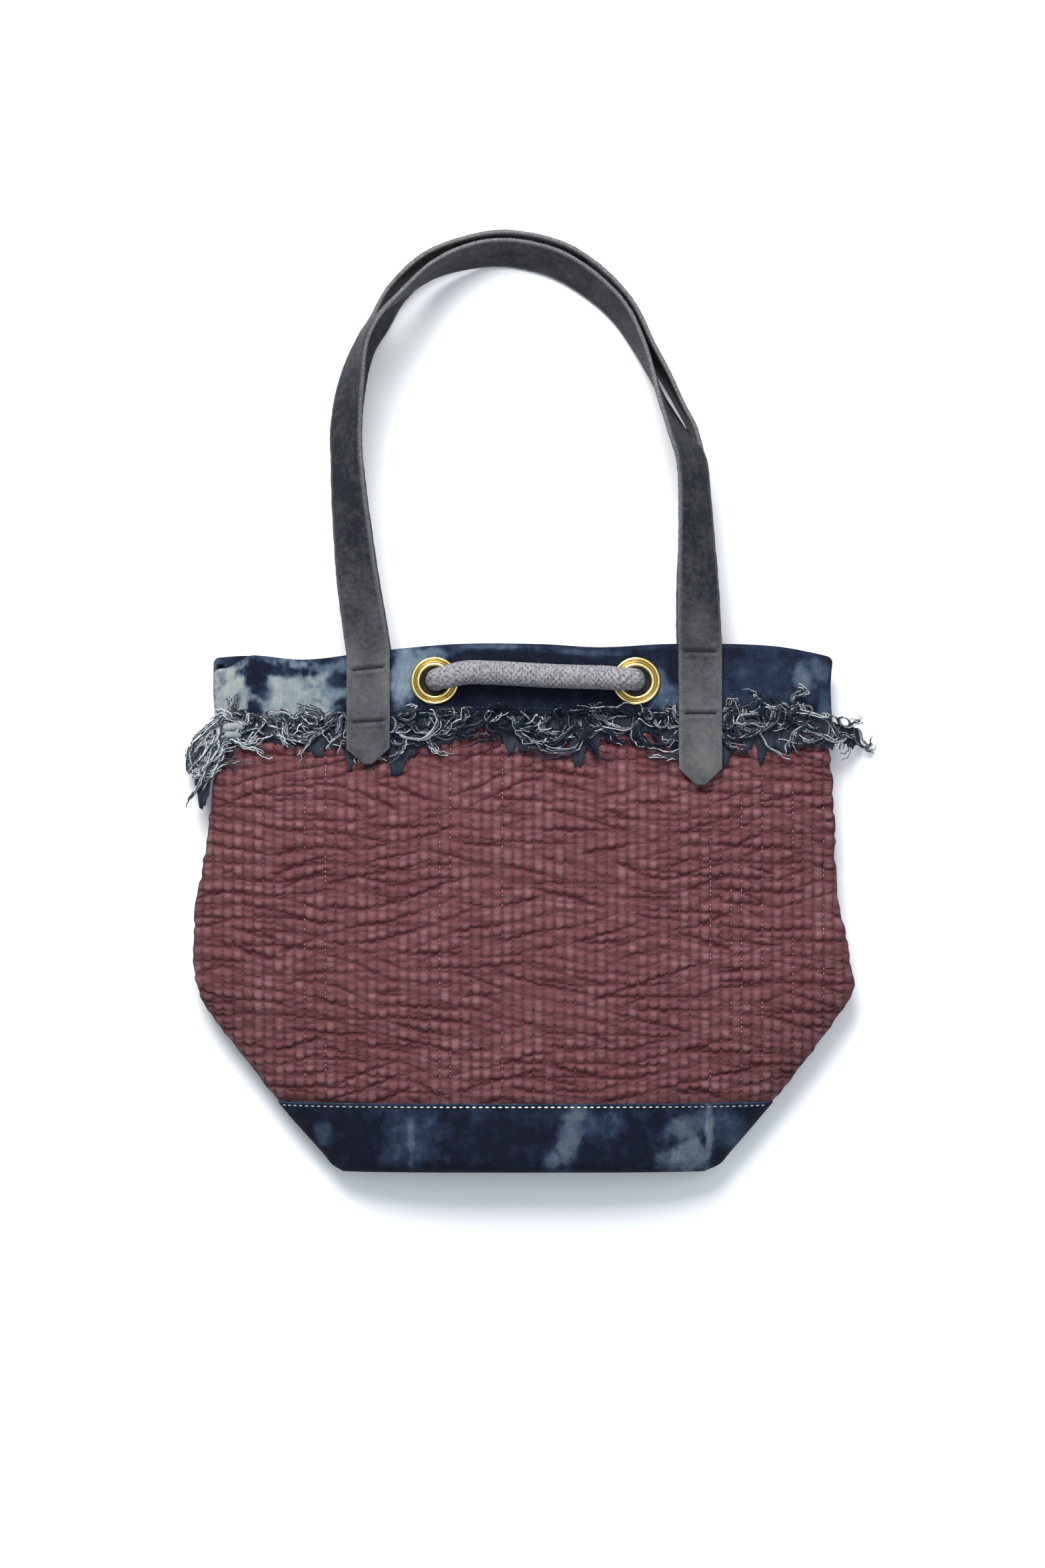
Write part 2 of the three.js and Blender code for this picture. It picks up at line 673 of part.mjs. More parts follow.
// Handle: one strap from the point of the left tab, round its route, to the right tab.
function handle(side, route, tabLengths) {
  const [leftTab, rightTab] = [-1, 1].map((end, i) => {
    return tabStations(side, handleCentre + end * handleSpacing / 2, tabLengths[i]);
  });
  const mouth = [leftTab, rightTab].map((tab) => tab[tab.length - 1]);
  const flat = side > 0 ? 0 : Math.PI;
  const marks = route.map((row) => {
    const roll = THREE.MathUtils.degToRad(row.roll);
    const x = handleCentre + row.across * handleSpacing / 2;
    const y = bodyHeight + row.up * handleDrop;
    const z = restingMiddle(roll) + (row.rise ?? 0) * strapWidth;
    return { place: new THREE.Vector3(x, y, z), roll };
  });
  const ends = mouth.map((station, i) => {
    const lean = Math.asin(station.across.z) * (i === 0 ? 1 : -1);
    return { place: station.middle, roll: flat + lean };
  });
  const all = [ends[0], ...marks, ends[1]].map((mark, i) => ({ ...mark, at: i }));
  const curve = new THREE.CatmullRomCurve3(all.map((mark) => mark.place));
  const count = (all.length - 1) * routeSteps;
  const strap = [];
  for (let i = 1; i < count; i += 1) {
    const share = i / count;
    const along = curve.getTangent(share);
    const roll = readRows(all, 'at', 'roll', share * (all.length - 1));
    const inward = new THREE.Vector3(along.y, -along.x, 0).normalize();
    const up = inward.clone().cross(along).normalize();
    const across = inward.clone().multiplyScalar(Math.cos(roll)).addScaledVector(up, Math.sin(roll));
    const out = across.clone().cross(along).normalize();
    strap.push({ middle: curve.getPoint(share), across, out });
  }
  const tabRings = (tab, way) => tab.map((station) => {
    const across = station.across.clone().multiplyScalar(way);
    return strapStation(station.middle, across, station.out, station.width);
  });
  const strapRings = strap.map((part) => strapStation(part.middle, part.across, part.out, strapWidth));
  const rings = [...tabRings(leftTab, side), ...strapRings, ...tabRings(rightTab.reverse(), -side)];
  return loft(rings, [[0, 1, 2, 3]]);
}

// Finishes
const quilt = { color: 0x7d5a61, roughness: 0.9, metalness: 0 };
const denim = { color: 0x26303f, roughness: 0.85, metalness: 0 };
const frayed = { color: 0x5a6068, roughness: 0.95, metalness: 0 };
const leather = { color: 0x45484e, roughness: 0.6, metalness: 0 };
const brass = { color: 0xb59a55, roughness: 0.3, metalness: 1 };
const ropeYarn = { color: 0x96959b, roughness: 0.95, metalness: 0 };

const bag = new THREE.Group();
bag.position.y = -restHeight;

function addPiece(name, geometry, finish) {
  const mesh = new THREE.Mesh(geometry, new THREE.MeshStandardMaterial(finish));
  mesh.name = name;
  bag.add(mesh);
}

addPiece('quilted_front', pierced(quiltedWall(1)), quilt);
addPiece('quilted_back', quiltedWall(-1), quilt);
addPiece('denim_base', denimBase(), denim);
addPiece('denim_band_front', pierced(bandWall(1)), denim);
addPiece('denim_band_back', bandWall(-1), denim);
addPiece('frayed_edge_front', frayedEdge(1, frayedFront, fringeLocks), frayed);
addPiece('frayed_edge_back', frayedEdge(-1, frayedBack, backFringeLocks), frayed);
addPiece('eyelet_left', eyeletRing(eyelets[0]), brass);
addPiece('eyelet_right', eyeletRing(eyelets[1]), brass);
addPiece('rope', ropeAndKnots(), ropeYarn);
addPiece('handle_front', handle(1, frontRoute, frontTabLengths), leather);
addPiece('handle_back', handle(-1, backRoute, [backTabLength, backTabLength]), leather);

export default bag;
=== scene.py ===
"""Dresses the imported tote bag: quilted cloth, bleached denim, frayed yarns, brass, rope, leather.

Shapes are numpy surfaces in millimetres, in the frame's own axes: X to the right, Y from the
base towards the handles, Z up from the table. They become metres when a mesh is made.
"""
import logging
import math
from dataclasses import dataclass, field
from enum import Enum

import bpy
import numpy as np
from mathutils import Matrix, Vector


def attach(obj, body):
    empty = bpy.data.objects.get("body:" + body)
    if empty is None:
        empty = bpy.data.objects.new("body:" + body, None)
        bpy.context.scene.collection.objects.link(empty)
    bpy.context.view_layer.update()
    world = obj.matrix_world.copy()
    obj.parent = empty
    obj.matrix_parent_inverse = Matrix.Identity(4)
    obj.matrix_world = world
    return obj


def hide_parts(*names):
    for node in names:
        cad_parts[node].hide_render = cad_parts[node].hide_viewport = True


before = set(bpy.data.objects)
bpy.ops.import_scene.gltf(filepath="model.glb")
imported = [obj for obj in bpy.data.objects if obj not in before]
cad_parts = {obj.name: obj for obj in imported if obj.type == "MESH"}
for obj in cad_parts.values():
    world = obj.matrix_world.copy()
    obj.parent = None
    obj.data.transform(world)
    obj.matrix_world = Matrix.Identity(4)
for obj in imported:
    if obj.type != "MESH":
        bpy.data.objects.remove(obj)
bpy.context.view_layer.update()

LOG = logging.getLogger("tote_bag")

MM = 0.001
ROOT = "root"

Array = np.ndarray
Material = bpy.types.Material
Piece = bpy.types.Object
Socket = bpy.types.NodeSocket
Triple = tuple[float, float, float]


class Side(Enum):
    """The two walls of the bag as it lies."""

    FRONT = 1
    BACK = -1

    @property
    def label(self) -> str:
        """Side's word in the names of pieces and nodes."""
        return self.name.lower()

    def beyond(self, z: Array, seam: Array) -> Array:
        """Heights held on this wall's own side of the side seam."""
        return np.maximum(z, seam) if self is Side.FRONT else np.minimum(z, seam)

    def turn(self, faces: Array) -> Array:
        """Faces that look outwards on the front, turned over for the back."""
        return faces if self is Side.FRONT else faces[:, ::-1]


def smooth(value: Array) -> Array:
    """Smooth step of the values, from 0 below 0 to 1 above 1."""
    share = np.clip(value, 0.0, 1.0)
    return share * share * (3.0 - 2.0 * share)


def mix(low: Array, high: Array, share: Array) -> Array:
    """Blend of two values."""
    return low + (high - low) * share


def read_rows(rows: Array, at: Array) -> Array:
    """Reads a table through a smooth cubic.

    On each stretch the value is a Hermite cubic whose slopes come from the rows on both sides.

    Args:
        rows: Places in the first column and values in the second.
        at: Places to read.

    Returns:
        The values at those places.
    """
    place, value = rows[:, 0], rows[:, 1]
    last = len(place) - 1
    i = np.clip(np.searchsorted(place, at, side="right") - 1, 0, last - 1)
    before, after = np.maximum(i - 1, 0), np.minimum(i + 2, last)
    step = place[i + 1] - place[i]
    share = np.clip((at - place[i]) / step, 0.0, 1.0)
    start = (value[i + 1] - value[before]) / (place[i + 1] - place[before]) * step
    end = (value[after] - value[i]) / (place[after] - place[i]) * step
    square, cube = share**2, share**3
    return (
        value[i] * (2 * cube - 3 * square + 1)
        + start * (cube - 2 * square + share)
        + value[i + 1] * (3 * square - 2 * cube)
        + end * (cube - square)
    )


def lattice(i: Array, j: Array, seed: int) -> Array:
    """Fixed pseudo-random value from 0 to 1 at each whole lattice point."""
    wave = np.sin(i * 127.1 + j * 311.7 + seed * 74.7) * 43758.5453
    return wave - np.floor(wave)


def noise(x: Array, y: Array, seed: int) -> Array:
    """Smooth value noise.

    The value is the smooth blend of the four lattice values round each place.

    Args:
        x: First coordinate in cells.
        y: Second coordinate in cells.
        seed: Number of the pattern.

    Returns:
        Values from -1 to 1.
    """
    i, j = np.floor(x), np.floor(y)
    u, v = smooth(x - i), smooth(y - j)
    low = mix(lattice(i, j, seed), lattice(i + 1, j, seed), u)
    high = mix(lattice(i, j + 1, seed), lattice(i + 1, j + 1, seed), u)
    return 2.0 * mix(low, high, v) - 1.0


def rough(x: Array, y: Array, seed: int, octaves: int = 3) -> Array:
    """Sum of noises, each at twice the pitch and half the height of the one before.

    Args:
        x: First coordinate in cells.
        y: Second coordinate in cells.
        seed: Number of the pattern.
        octaves: How many noises are added up.

    Returns:
        Values from about -1 to 1.
    """
    total = np.zeros(np.broadcast(x, y).shape)
    for k in range(octaves):
        total = total + noise(x * 2**k, y * 2**k, seed + 17 * k) * 0.5**k
    return total / 1.75


def bell(distance: Array, wide: float) -> Array:
    """Smooth hump, 1 where the distance is 0 and about a third one width away."""
    return np.exp(-((distance / wide) ** 2))


def run_along(line: Array) -> Array:
    """Length along a line at each of its points."""
    return np.concatenate([[0], np.cumsum(np.linalg.norm(np.diff(line, axis=0), axis=1))])


def unit(vectors: Array) -> Array:
    """Vectors scaled to length one."""
    return vectors / np.maximum(np.linalg.norm(vectors, axis=-1, keepdims=True), 1e-9)


@dataclass
class BodyForm:
    """The bag's body as it lies on its back, the same form as the solids of the frame.

    Heights run from the base to the mouth. Offsets grow the form outwards on every side.
    """

    width: float = 397.0
    height: float = 316.0
    belly_depth: float = 44.0
    mouth_depth: float = 28.0
    base_depth: float = 38.0
    base_edge: float = 9.0
    rest_height: float = 120.0
    back_lift: float = 6.4
    seam_share: float = 0.4
    front_square: float = 3.0
    front_round: float = 0.556
    flat_share: float = 0.8
    outline: Array = field(default_factory=lambda: np.array([
        [0.000, -0.545, 0.548], [0.012, -0.577, 0.592], [0.030, -0.600, 0.618],
        [0.104, -0.705, 0.719], [0.199, -0.826, 0.842], [0.294, -0.941, 0.953],
        [0.342, -0.984, 1.000], [0.389, -0.997, 0.993], [0.446, -0.999, 0.979],
        [0.510, -0.992, 0.955], [0.579, -0.971, 0.947], [0.711, -0.943, 0.939],
        [0.844, -0.920, 0.925], [0.940, -0.925, 0.918], [1.000, -0.925, 0.925],
    ]))
    mouth_edge: Array = field(default_factory=lambda: np.array([
        [-1.000, 0.030], [-0.836, 0.020], [-0.655, 0.029], [-0.450, 0.014], [-0.200, 0.000],
        [0.050, 0.000], [0.230, 0.006], [0.430, 0.000], [0.650, 0.000], [0.790, 0.006],
        [1.000, 0.032],
    ]))
    folds: Array = field(default_factory=lambda: np.array([
        [-0.62, 0.58, 0.15, 0.20, 0.045], [-0.12, 0.60, 0.15, 0.22, 0.055],
        [0.34, 0.42, 0.16, 0.17, 0.045], [-0.70, 0.24, 0.18, 0.08, -0.050],
        [0.10, 0.36, 0.16, 0.14, -0.040], [0.76, 0.40, 0.14, 0.16, -0.050],
    ]))

    def section(self, height: Array, offset: Array) -> dict[str, Array]:
        """Section of the body at each height.

        The sides come from the outline's rows; the depth blends from base to belly to mouth,
        and the bottom edges are rounded by a quarter circle.

        Args:
            height: Heights above the base.
            offset: Growth outwards.

        Returns:
            Left and right sides, lowest and highest point and the side seam's height.
        """
        share = height / self.height
        half = self.width / 2
        left = read_rows(self.outline[:, [0, 1]], share) * half - offset
        right = read_rows(self.outline[:, [0, 2]], share) * half + offset
        filled = mix(self.base_depth, self.belly_depth, smooth(share / 0.35))
        depth = mix(filled, self.mouth_depth, smooth((share - 0.45) / 0.5))
        below = np.maximum(0.0, self.base_edge - height)
        inset = self.base_edge - np.sqrt(np.maximum(0.0, self.base_edge**2 - below**2)) - offset
        low = self.back_lift * smooth((share - 0.5) / 0.24) + inset
        high = low + depth - 2 * inset
        return {"left": left, "right": right, "low": low, "high": high,
                "seam": mix(low, high, self.seam_share)}

    def fold(self, x: Array, height: Array) -> Array:
        """Sum of the broad round folds and dents of the front, each a two-way bell.

        Args:
            x: Places across.
            height: Heights above the base.

        Returns:
            Rise of the front, in millimetres.
        """
        total = np.zeros(np.broadcast(x, height).shape)
        for across, up, wide, tall, rise in self.folds:
            there = bell(2 * x / self.width - across, wide) * bell(height / self.height - up, tall)
            total = total + rise * self.belly_depth * there
        return total

    def sag(self, side: Side, x: Array, height: Array) -> Array:
        """Drop of the mouth edge, fading down the wall, with the front's turned corner.

        Args:
            side: Which wall.
            x: Places across.
            height: Heights above the base.

        Returns:
            Shift towards the mouth, below 0 as the edge sags.
        """
        across, share = 2 * x / self.width, height / self.height
        drop = read_rows(self.mouth_edge, across) * smooth((share - 0.72) / 0.28)
        if side is Side.FRONT:
            drop = drop + 0.022 * smooth((-0.900 - across) / 0.090 + 1) * smooth((share - 0.88) / 0.12)
        return -drop * self.height

    def wall(self, side: Side, x: Array, height: Array, offset: Array) -> Array:
        """Points of a wall.

        The front bulges as the power 0.556 of one less the cube of the place across; the back
        is flat over its middle and turns up to the seam in a quarter circle.

        Args:
            side: Which wall.
            x: Places across.
            height: Heights above the base.
            offset: Growth outwards.

        Returns:
            Points, X, Y and Z last.
        """
        x, height, offset = np.broadcast_arrays(x, height, np.asarray(offset, float))
        sec = self.section(height, offset)
        half = (sec["right"] - sec["left"]) / 2
        across = np.minimum(1.0, np.abs(x - sec["left"] - half) / half)
        if side is Side.FRONT:
            bulge = np.maximum(0.0, 1 - across**self.front_square) ** self.front_round
            z = mix(sec["seam"], sec["high"], bulge) + self.fold(x, height) * bulge
        else:
            turn = np.maximum(0.0, (across - self.flat_share) / (1 - self.flat_share))
            z = mix(sec["low"], sec["seam"], 1 - np.sqrt(np.maximum(0.0, 1 - turn**2)))
        y = height + self.sag(side, x, height) - self.rest_height
        return np.stack([x, y, z], axis=-1)

    def spread(self, side: Side, t: Array, height: Array, offset: Array) -> Array:
        """Points of a wall by their place t across, -1 at the left seam and 1 at the right one.

        Args:
            side: Which wall.
            t: Places across, from -1 to 1.
            height: Heights above the base.
            offset: Growth outwards.

        Returns:
            Points, X, Y and Z last.
        """
        t, height, offset = np.broadcast_arrays(t, height, np.asarray(offset, float))
        sec = self.section(height, offset)
        x = mix(sec["left"], sec["right"], (1 + np.sin(t * math.pi / 2)) / 2)
        return self.wall(side, x, height, offset)


def grid_normals(points: Array) -> Array:
    """Unit normals of a grid of points from its central differences, rows crossed by columns."""
    return unit(np.cross(np.gradient(points, axis=0), np.gradient(points, axis=1)))


def grid_faces(rows: int, cols: int, around: bool = False) -> Array:
    """Four-sided faces of a grid of points.

    Args:
        rows: Number of rows.
        cols: Number of columns.
        around: Whether the last column joins the first.

    Returns:
        Faces, four point numbers each.
    """
    i = np.arange(rows - 1)[:, None]
    j = np.arange(cols if around else cols - 1)[None, :]
    k = (j + 1) % cols
    corners = [i * cols + j, i * cols + k, (i + 1) * cols + k, (i + 1) * cols + j]
    return np.stack([np.broadcast_to(c, (rows - 1, j.size)) for c in corners], -1).reshape(-1, 4)


class Mesh:
    """Points, faces and per-point values of one piece, gathered part by part."""

    def __init__(self) -> None:
        """Starts with no points."""
        self.points: list[Array] = []
        self.faces: list[list[int]] = []
        self.values: dict[str, list[Array]] = {}
        self.count = 0

    def add(self, points: Array, faces: Array | list[list[int]], **values: Array) -> int:
        """Adds points with their faces and values.

        Args:
            points: Points in millimetres, X, Y and Z in the last axis.
            faces: Faces that number these points from 0.
            **values: One number a point for each attribute; every part gives the same ones.

        Returns:
            The number of the first point that was added.
        """
        first = self.count
        flat = np.asarray(points, float).reshape(-1, 3)
        self.points.append(flat)
        self.count += len(flat)
        if isinstance(faces, np.ndarray):
            self.faces.extend((faces + first).tolist())
        else:
            self.faces.extend([[n + first for n in face] for face in faces])
        for key, value in values.items():
            part = np.broadcast_to(np.asarray(value, float), np.shape(value) or flat.shape[:1])
            self.values.setdefault(key, []).append(part.reshape(-1))
        return first

    def build(self, name: str, finish: Material, nodes: tuple[str, ...], slot: str) -> Piece:
        """Makes the Blender object, rides it on the bag and hides the parts of the frame that it stands for.

        Args:
            name: The piece's name.
            finish: Its material.
            nodes: The nodes of the frame that it stands for.
            slot: Not used.

        Returns:
            The object.
        """
        mesh = bpy.data.meshes.new(name)
        mesh.from_pydata((np.concatenate(self.points) * MM).tolist(), [], self.faces)
        for key, parts in self.values.items():
            layer = mesh.attributes.new(key, "FLOAT", "POINT")
            layer.data.foreach_set("value", np.concatenate(parts).astype(np.float32))
        mesh.polygons.foreach_set("use_smooth", np.ones(len(mesh.polygons), bool))
        mesh.materials.append(finish)
        mesh.update()
        piece = bpy.data.objects.new(name, mesh)
        bpy.context.scene.collection.objects.link(piece)
        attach(piece, ROOT)
        if nodes:
            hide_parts(*nodes)
        triangles = sum(len(face) - 2 for face in self.faces)
        LOG.info("%s: %d points, %d triangles", name, self.count, triangles)
        return piece


class Shader:
    """A material's node tree, built from short calls."""

    def __init__(self, name: str) -> None:
        """Starts a material with its main shader and output."""
        self.material = bpy.data.materials.new(name)
        self.material.use_nodes = True
        self.tree = self.material.node_tree
        self.main = self.tree.nodes["Principled BSDF"]

    def node(self, kind: str, inputs: dict | None = None, **settings: str) -> bpy.types.Node:
        """Adds a node with settings, and links or sets its inputs.

        Args:
            kind: Blender's name for the kind of node.
            inputs: Sockets or values by the input's name.
            **settings: The node's own settings.

        Returns:
            The node.
        """
        made = self.tree.nodes.new(kind)
        for key, value in settings.items():
            setattr(made, key, value)
        for key, value in (inputs or {}).items():
            self.put(made.inputs[key], value)
        return made

    def put(self, socket: Socket, value: Socket | float | tuple) -> None:
        """Links a socket to another, or sets its value.

        Args:
            socket: Socket to feed.
            value: Socket or value.
        """
        if isinstance(value, Socket):
            self.tree.links.new(value, socket)
        else:
            socket.default_value = value

    def set(self, **values: Socket | float | tuple) -> None:
        """Sets the main shader's sockets by name, with _ for a space."""
        for key, value in values.items():
            self.put(self.main.inputs[key.replace("_", " ").title().replace("Ior", "IOR")], value)

    def place(self, scale: Triple = (1.0, 1.0, 1.0), turn: float = 0.0) -> Socket:
        """Object coordinates in millimetres, scaled and turned about Z."""
        where = self.node("ShaderNodeTexCoord").outputs["Object"]
        inputs = {"Vector": where, "Scale": tuple(s / MM for s in scale), "Rotation": (0.0, 0.0, turn)}
        return self.node("ShaderNodeMapping", inputs).outputs[0]

    def value(self, name: str) -> Socket:
        """A number that the mesh carries at each point."""
        return self.node("ShaderNodeAttribute", attribute_name=name).outputs["Fac"]

    def noise(self, where: Socket, scale: float, detail: float = 3.0, roughness: float = 0.5) -> Socket:
        """Noise texture from 0 to 1."""
        inputs = {"Vector": where, "Scale": scale, "Detail": detail, "Roughness": roughness}
        return self.node("ShaderNodeTexNoise", inputs).outputs["Fac"]

    def bands(self, where: Socket, scale: float, distortion: float, way: str = "X",
              detail: float = 2.0) -> Socket:
        """Soft stripes from 0 to 1 across one axis."""
        inputs = {"Vector": where, "Scale": scale, "Distortion": distortion, "Detail": detail}
        return self.node("ShaderNodeTexWave", inputs, wave_type="BANDS", bands_direction=way).outputs["Fac"]

    def math(self, kind: str, first: Socket, second: Socket | float) -> Socket:
        """One arithmetic step."""
        return self.node("ShaderNodeMath", {0: first, 1: second}, operation=kind).outputs[0]

    def around(self, value: Socket, size: float) -> Socket:
        """Value from 0 to 1 moved to swing round 0 by a size."""
        return self.math("MULTIPLY", self.math("SUBTRACT", value, 0.5), size)

    def span(self, value: Socket, low: float, high: float, to_low: float = 0.0,
             to_high: float = 1.0) -> Socket:
        """Value moved from one range to another, held at its ends."""
        inputs = {"Value": value, "From Min": low, "From Max": high, "To Min": to_low, "To Max": to_high}
        return self.node("ShaderNodeMapRange", inputs).outputs[0]

    def blend(self, first: Socket | Triple, second: Socket | Triple, share: Socket | float,
              kind: str = "MIX") -> Socket:
        """Blend of two colours.

        Args:
            first: Colour at share 0.
            second: Colour at share 1.
            share: Share of the second colour.
            kind: Blender's name for the kind of blend.

        Returns:
            The blended colour.
        """
        made = self.node("ShaderNodeMix", data_type="RGBA", blend_type=kind)
        for socket, value in zip([made.inputs[6], made.inputs[7], made.inputs[0]], [first, second, share]):
            self.put(socket, (*value, 1.0) if isinstance(value, tuple) else value)
        return made.outputs[2]

    def mottle(self, colour: Socket, low: float, high: float, by: Socket, share: float) -> Socket:
        """Colour made darker and lighter, from one factor to another, by a texture."""
        return self.blend(colour, self.blend((low,) * 3, (high,) * 3, by), share, "MULTIPLY")

    def bump(self, height: Socket, depth_mm: float, strength: float, under: Socket | None = None) -> Socket:
        """Bump normal whose full height is a depth in millimetres, on top of another one.

        Args:
            height: Heights from 0 to 1.
            depth_mm: What a height of 1 stands for.
            strength: Share of the effect.
            under: Normal that the bump adds to.

        Returns:
            The normal.
        """
        inputs = {"Height": height, "Distance": depth_mm * MM, "Strength": strength}
        if under is not None:
            inputs["Normal"] = under
        return self.node("ShaderNodeBump", inputs).outputs[0]


@dataclass(frozen=True)
class QuiltFinish:
    """Mauve cotton with a fine plain weave: painted highlights on the puffs, darker and redder painted shade
    in the creases, red thread with painted shade in the stitched rows, and painted shade along the side
    seams.
    """

    puff: Triple = (0.159, 0.067, 0.072)
    lit: Triple = (0.228, 0.118, 0.128)
    crease: Triple = (0.034, 0.007, 0.010)
    thread: Triple = (0.105, 0.017, 0.022)
    seam: Triple = (0.026, 0.013, 0.019)

    def make(self) -> Material:
        """Builds the material."""
        s = Shader("quilted_cloth")
        place = s.place()
        broad = s.noise(place, 0.035, 3.0)
        fine = s.noise(place, 0.9, 4.0)
        # Painted highlight: the lit colour where the puffs stand highest, by the lift share, with a broad
        # random tone.
        colour = s.blend(self.puff, self.lit, s.span(s.math("ADD", broad, s.value("lift")), 0.85, 1.55))
        row = s.math("MULTIPLY", s.value("row"), s.span(fine, 0.2, 0.7, 0.55, 1.0))
        # The red thread of the rows, deepened by painted shade in the sunk rows and under the fringe.
        colour = s.blend(colour, self.thread, row)
        # Painted shade: the creases darkened to a deep red.
        colour = s.blend(colour, self.crease, s.value("crease"))
        # Painted shade along the side seams, where the wall turns down to the seam.
        colour = s.blend(colour, self.seam, s.value("seam"))
        colour = s.mottle(colour, 0.75, 1.2, fine, 0.6)
        warp, weft = (s.bands(place, 0.45, 1.5, way, detail=1.0) for way in "XY")
        normal = s.bump(s.math("MULTIPLY", warp, weft), 0.12, 0.7, s.bump(fine, 0.35, 0.6))
        s.set(base_color=colour, roughness=s.span(fine, 0.0, 1.0, 0.78, 0.95), normal=normal,
              sheen_weight=0.03, sheen_roughness=0.5, specular_ior_level=0.12)
        return s.material


@dataclass(frozen=True)
class DenimFinish:
    """Dark indigo twill, bleached and warmed where the mesh says, with a streaky thread."""

    dark: Triple = (0.0050, 0.0066, 0.0160)
    blue: Triple = (0.030, 0.052, 0.098)
    pale: Triple = (0.166, 0.224, 0.268)
    sand: Triple = (0.255, 0.282, 0.272)

    def make(self) -> Material:
        """Builds the material."""
        s = Shader("denim")
        place = s.place()
        cloud = s.noise(place, 0.11, 5.0, 0.62)
        fine = s.noise(place, 1.1, 4.0, 0.6)
        slub = s.noise(s.place((0.12, 1.6, 1.0)), 1.0, 3.0)
        down = s.noise(s.place((1.6, 0.12, 1.0)), 1.0, 3.0)
        worn = s.math("ADD", s.value("bleach"), s.around(cloud, 0.55))
        ground = s.blend(self.dark, self.blue, s.span(worn, 0.0, 0.50))
        warm = s.math("ADD", s.value("warm"), s.math("SUBTRACT", cloud, 0.5))
        white = s.blend(self.pale, self.sand, s.span(warm, 0.2, 0.9))
        colour = s.blend(ground, white, s.math("POWER", s.span(worn, 0.18, 1.0), 1.35))
        thread = s.math("ADD", s.math("MULTIPLY", slub, 0.3), s.math("MULTIPLY", down, 0.7))
        colour = s.mottle(colour, 0.68, 1.35, s.span(thread, 0.3, 0.7), 0.7)
        twill = s.bands(s.place(turn=math.radians(32)), 0.42, 0.8)
        colour = s.mottle(colour, 0.8, 1.25, twill, 0.45)
        normal = s.bump(twill, 0.16, 0.6, s.bump(fine, 0.3, 0.5))
        s.set(base_color=colour, roughness=s.span(fine, 0.0, 1.0, 0.72, 0.95), normal=normal,
              specular_ior_level=0.10)
        return s.material


@dataclass(frozen=True)
class YarnFinish:
    """Cotton yarns between a dark and a light colour, by each yarn's own tone."""

    name: str
    dark: Triple
    light: Triple
    fleck: float = 0.35

    def make(self) -> Material:
        """Builds the material."""
        s = Shader(self.name)
        fine = s.noise(s.place(), 1.6, 3.0)
        colour = s.blend(self.dark, self.light, s.value("tone"))
        colour = s.mottle(colour, 0.6, 1.4, fine, self.fleck)
        s.set(base_color=colour, roughness=s.span(fine, 0.0, 1.0, 0.75, 0.95), normal=s.bump(fine, 0.15, 0.5),
              specular_ior_level=0.2)
        return s.material


@dataclass(frozen=True)
class LeatherFinish:
    """Matte charcoal leather with a fine grain, lighter by rubbing and by painted sheen, darker as painted
    shade in the sewn grooves, with rough pale cut edges.
    """

    base: Triple = (0.0060, 0.0080, 0.0125)
    rubbed: Triple = (0.099, 0.098, 0.100)
    cut: Triple = (0.19, 0.19, 0.195)
    dark: Triple = (0.010, 0.010, 0.012)

    def make(self) -> Material:
        """Builds the material."""
        s = Shader("leather")
        place = s.place()
        cloud = s.noise(place, 0.06, 4.0)
        fine = s.noise(place, 1.5, 4.0, 0.6)
        cells = s.node("ShaderNodeTexVoronoi", {"Vector": place, "Scale": 0.9}, feature="DISTANCE_TO_EDGE")
        grain = s.span(cells.outputs["Distance"], 0.0, 0.12)
        scuff = s.noise(place, 0.30, 5.0, 0.65)
        # Real rubbing and painted sheen lighten the leather, by the mesh's share and random scuffs.
        wear_and_sheen = s.math("ADD", s.value("rub"), s.around(cloud, 0.8))
        wear_and_sheen = s.math("ADD", wear_and_sheen, s.around(scuff, 0.9))
        colour = s.blend(self.base, self.rubbed, s.span(wear_and_sheen, 0.0, 1.0))
        colour = s.mottle(colour, 0.45, 1.5, fine, 0.7)
        rim = s.blend(self.dark, self.cut, s.span(fine, 0.32, 0.62))
        colour = s.blend(colour, rim, s.value("edge"))
        # Painted shade: the sunk stitch grooves darkened.
        colour = s.blend(colour, self.dark, s.value("groove"))
        normal = s.bump(grain, 0.05, 0.45, s.bump(fine, 0.12, 0.5))
        s.set(base_color=colour, roughness=s.span(fine, 0.0, 1.0, 0.52, 0.78), normal=normal,
              specular_ior_level=0.22)
        return s.material


@dataclass(frozen=True)
class BrassFinish:
    """Polished yellow brass with faint tarnish, darker in its grooves and low rings as a painted dark
    reflection.
    """

    bright: Triple = (0.95, 0.75, 0.34)
    dull: Triple = (0.60, 0.43, 0.16)
    groove: Triple = (0.42, 0.31, 0.10)

    def make(self) -> Material:
        """Builds the material."""
        s = Shader("brass")
        place = s.place()
        cloud = s.noise(place, 0.35, 4.0)
        fine = s.noise(place, 3.0, 3.0)
        colour = s.blend(self.bright, self.dull, s.span(cloud, 0.45, 0.8))
        # Painted reflection: the groove colour on the low rings, the lighter colour on the raised bead and
        # rim.
        colour = s.blend(self.groove, colour, s.value("tone"))
        s.set(base_color=colour, roughness=s.span(fine, 0.2, 0.9, 0.20, 0.32), metallic=1.0)
        return s.material


@dataclass(frozen=True)
class CreaseLines:
    """A family of slanting creases across the quilting.

    Attributes:
        slope: Fall of the lines towards the right.
        pitch: Distance of the lines, in millimetres.
        drift: How far the lines bend away from straight, in millimetres.
        stagger: How far neighbouring puffs are set off against each other, in millimetres.
        least: Strength of a line where it is faintest.
        seed: Number of the pattern, added to the wall's own.
    """

    slope: float
    pitch: float
    drift: float
    stagger: float
    least: float
    seed: int


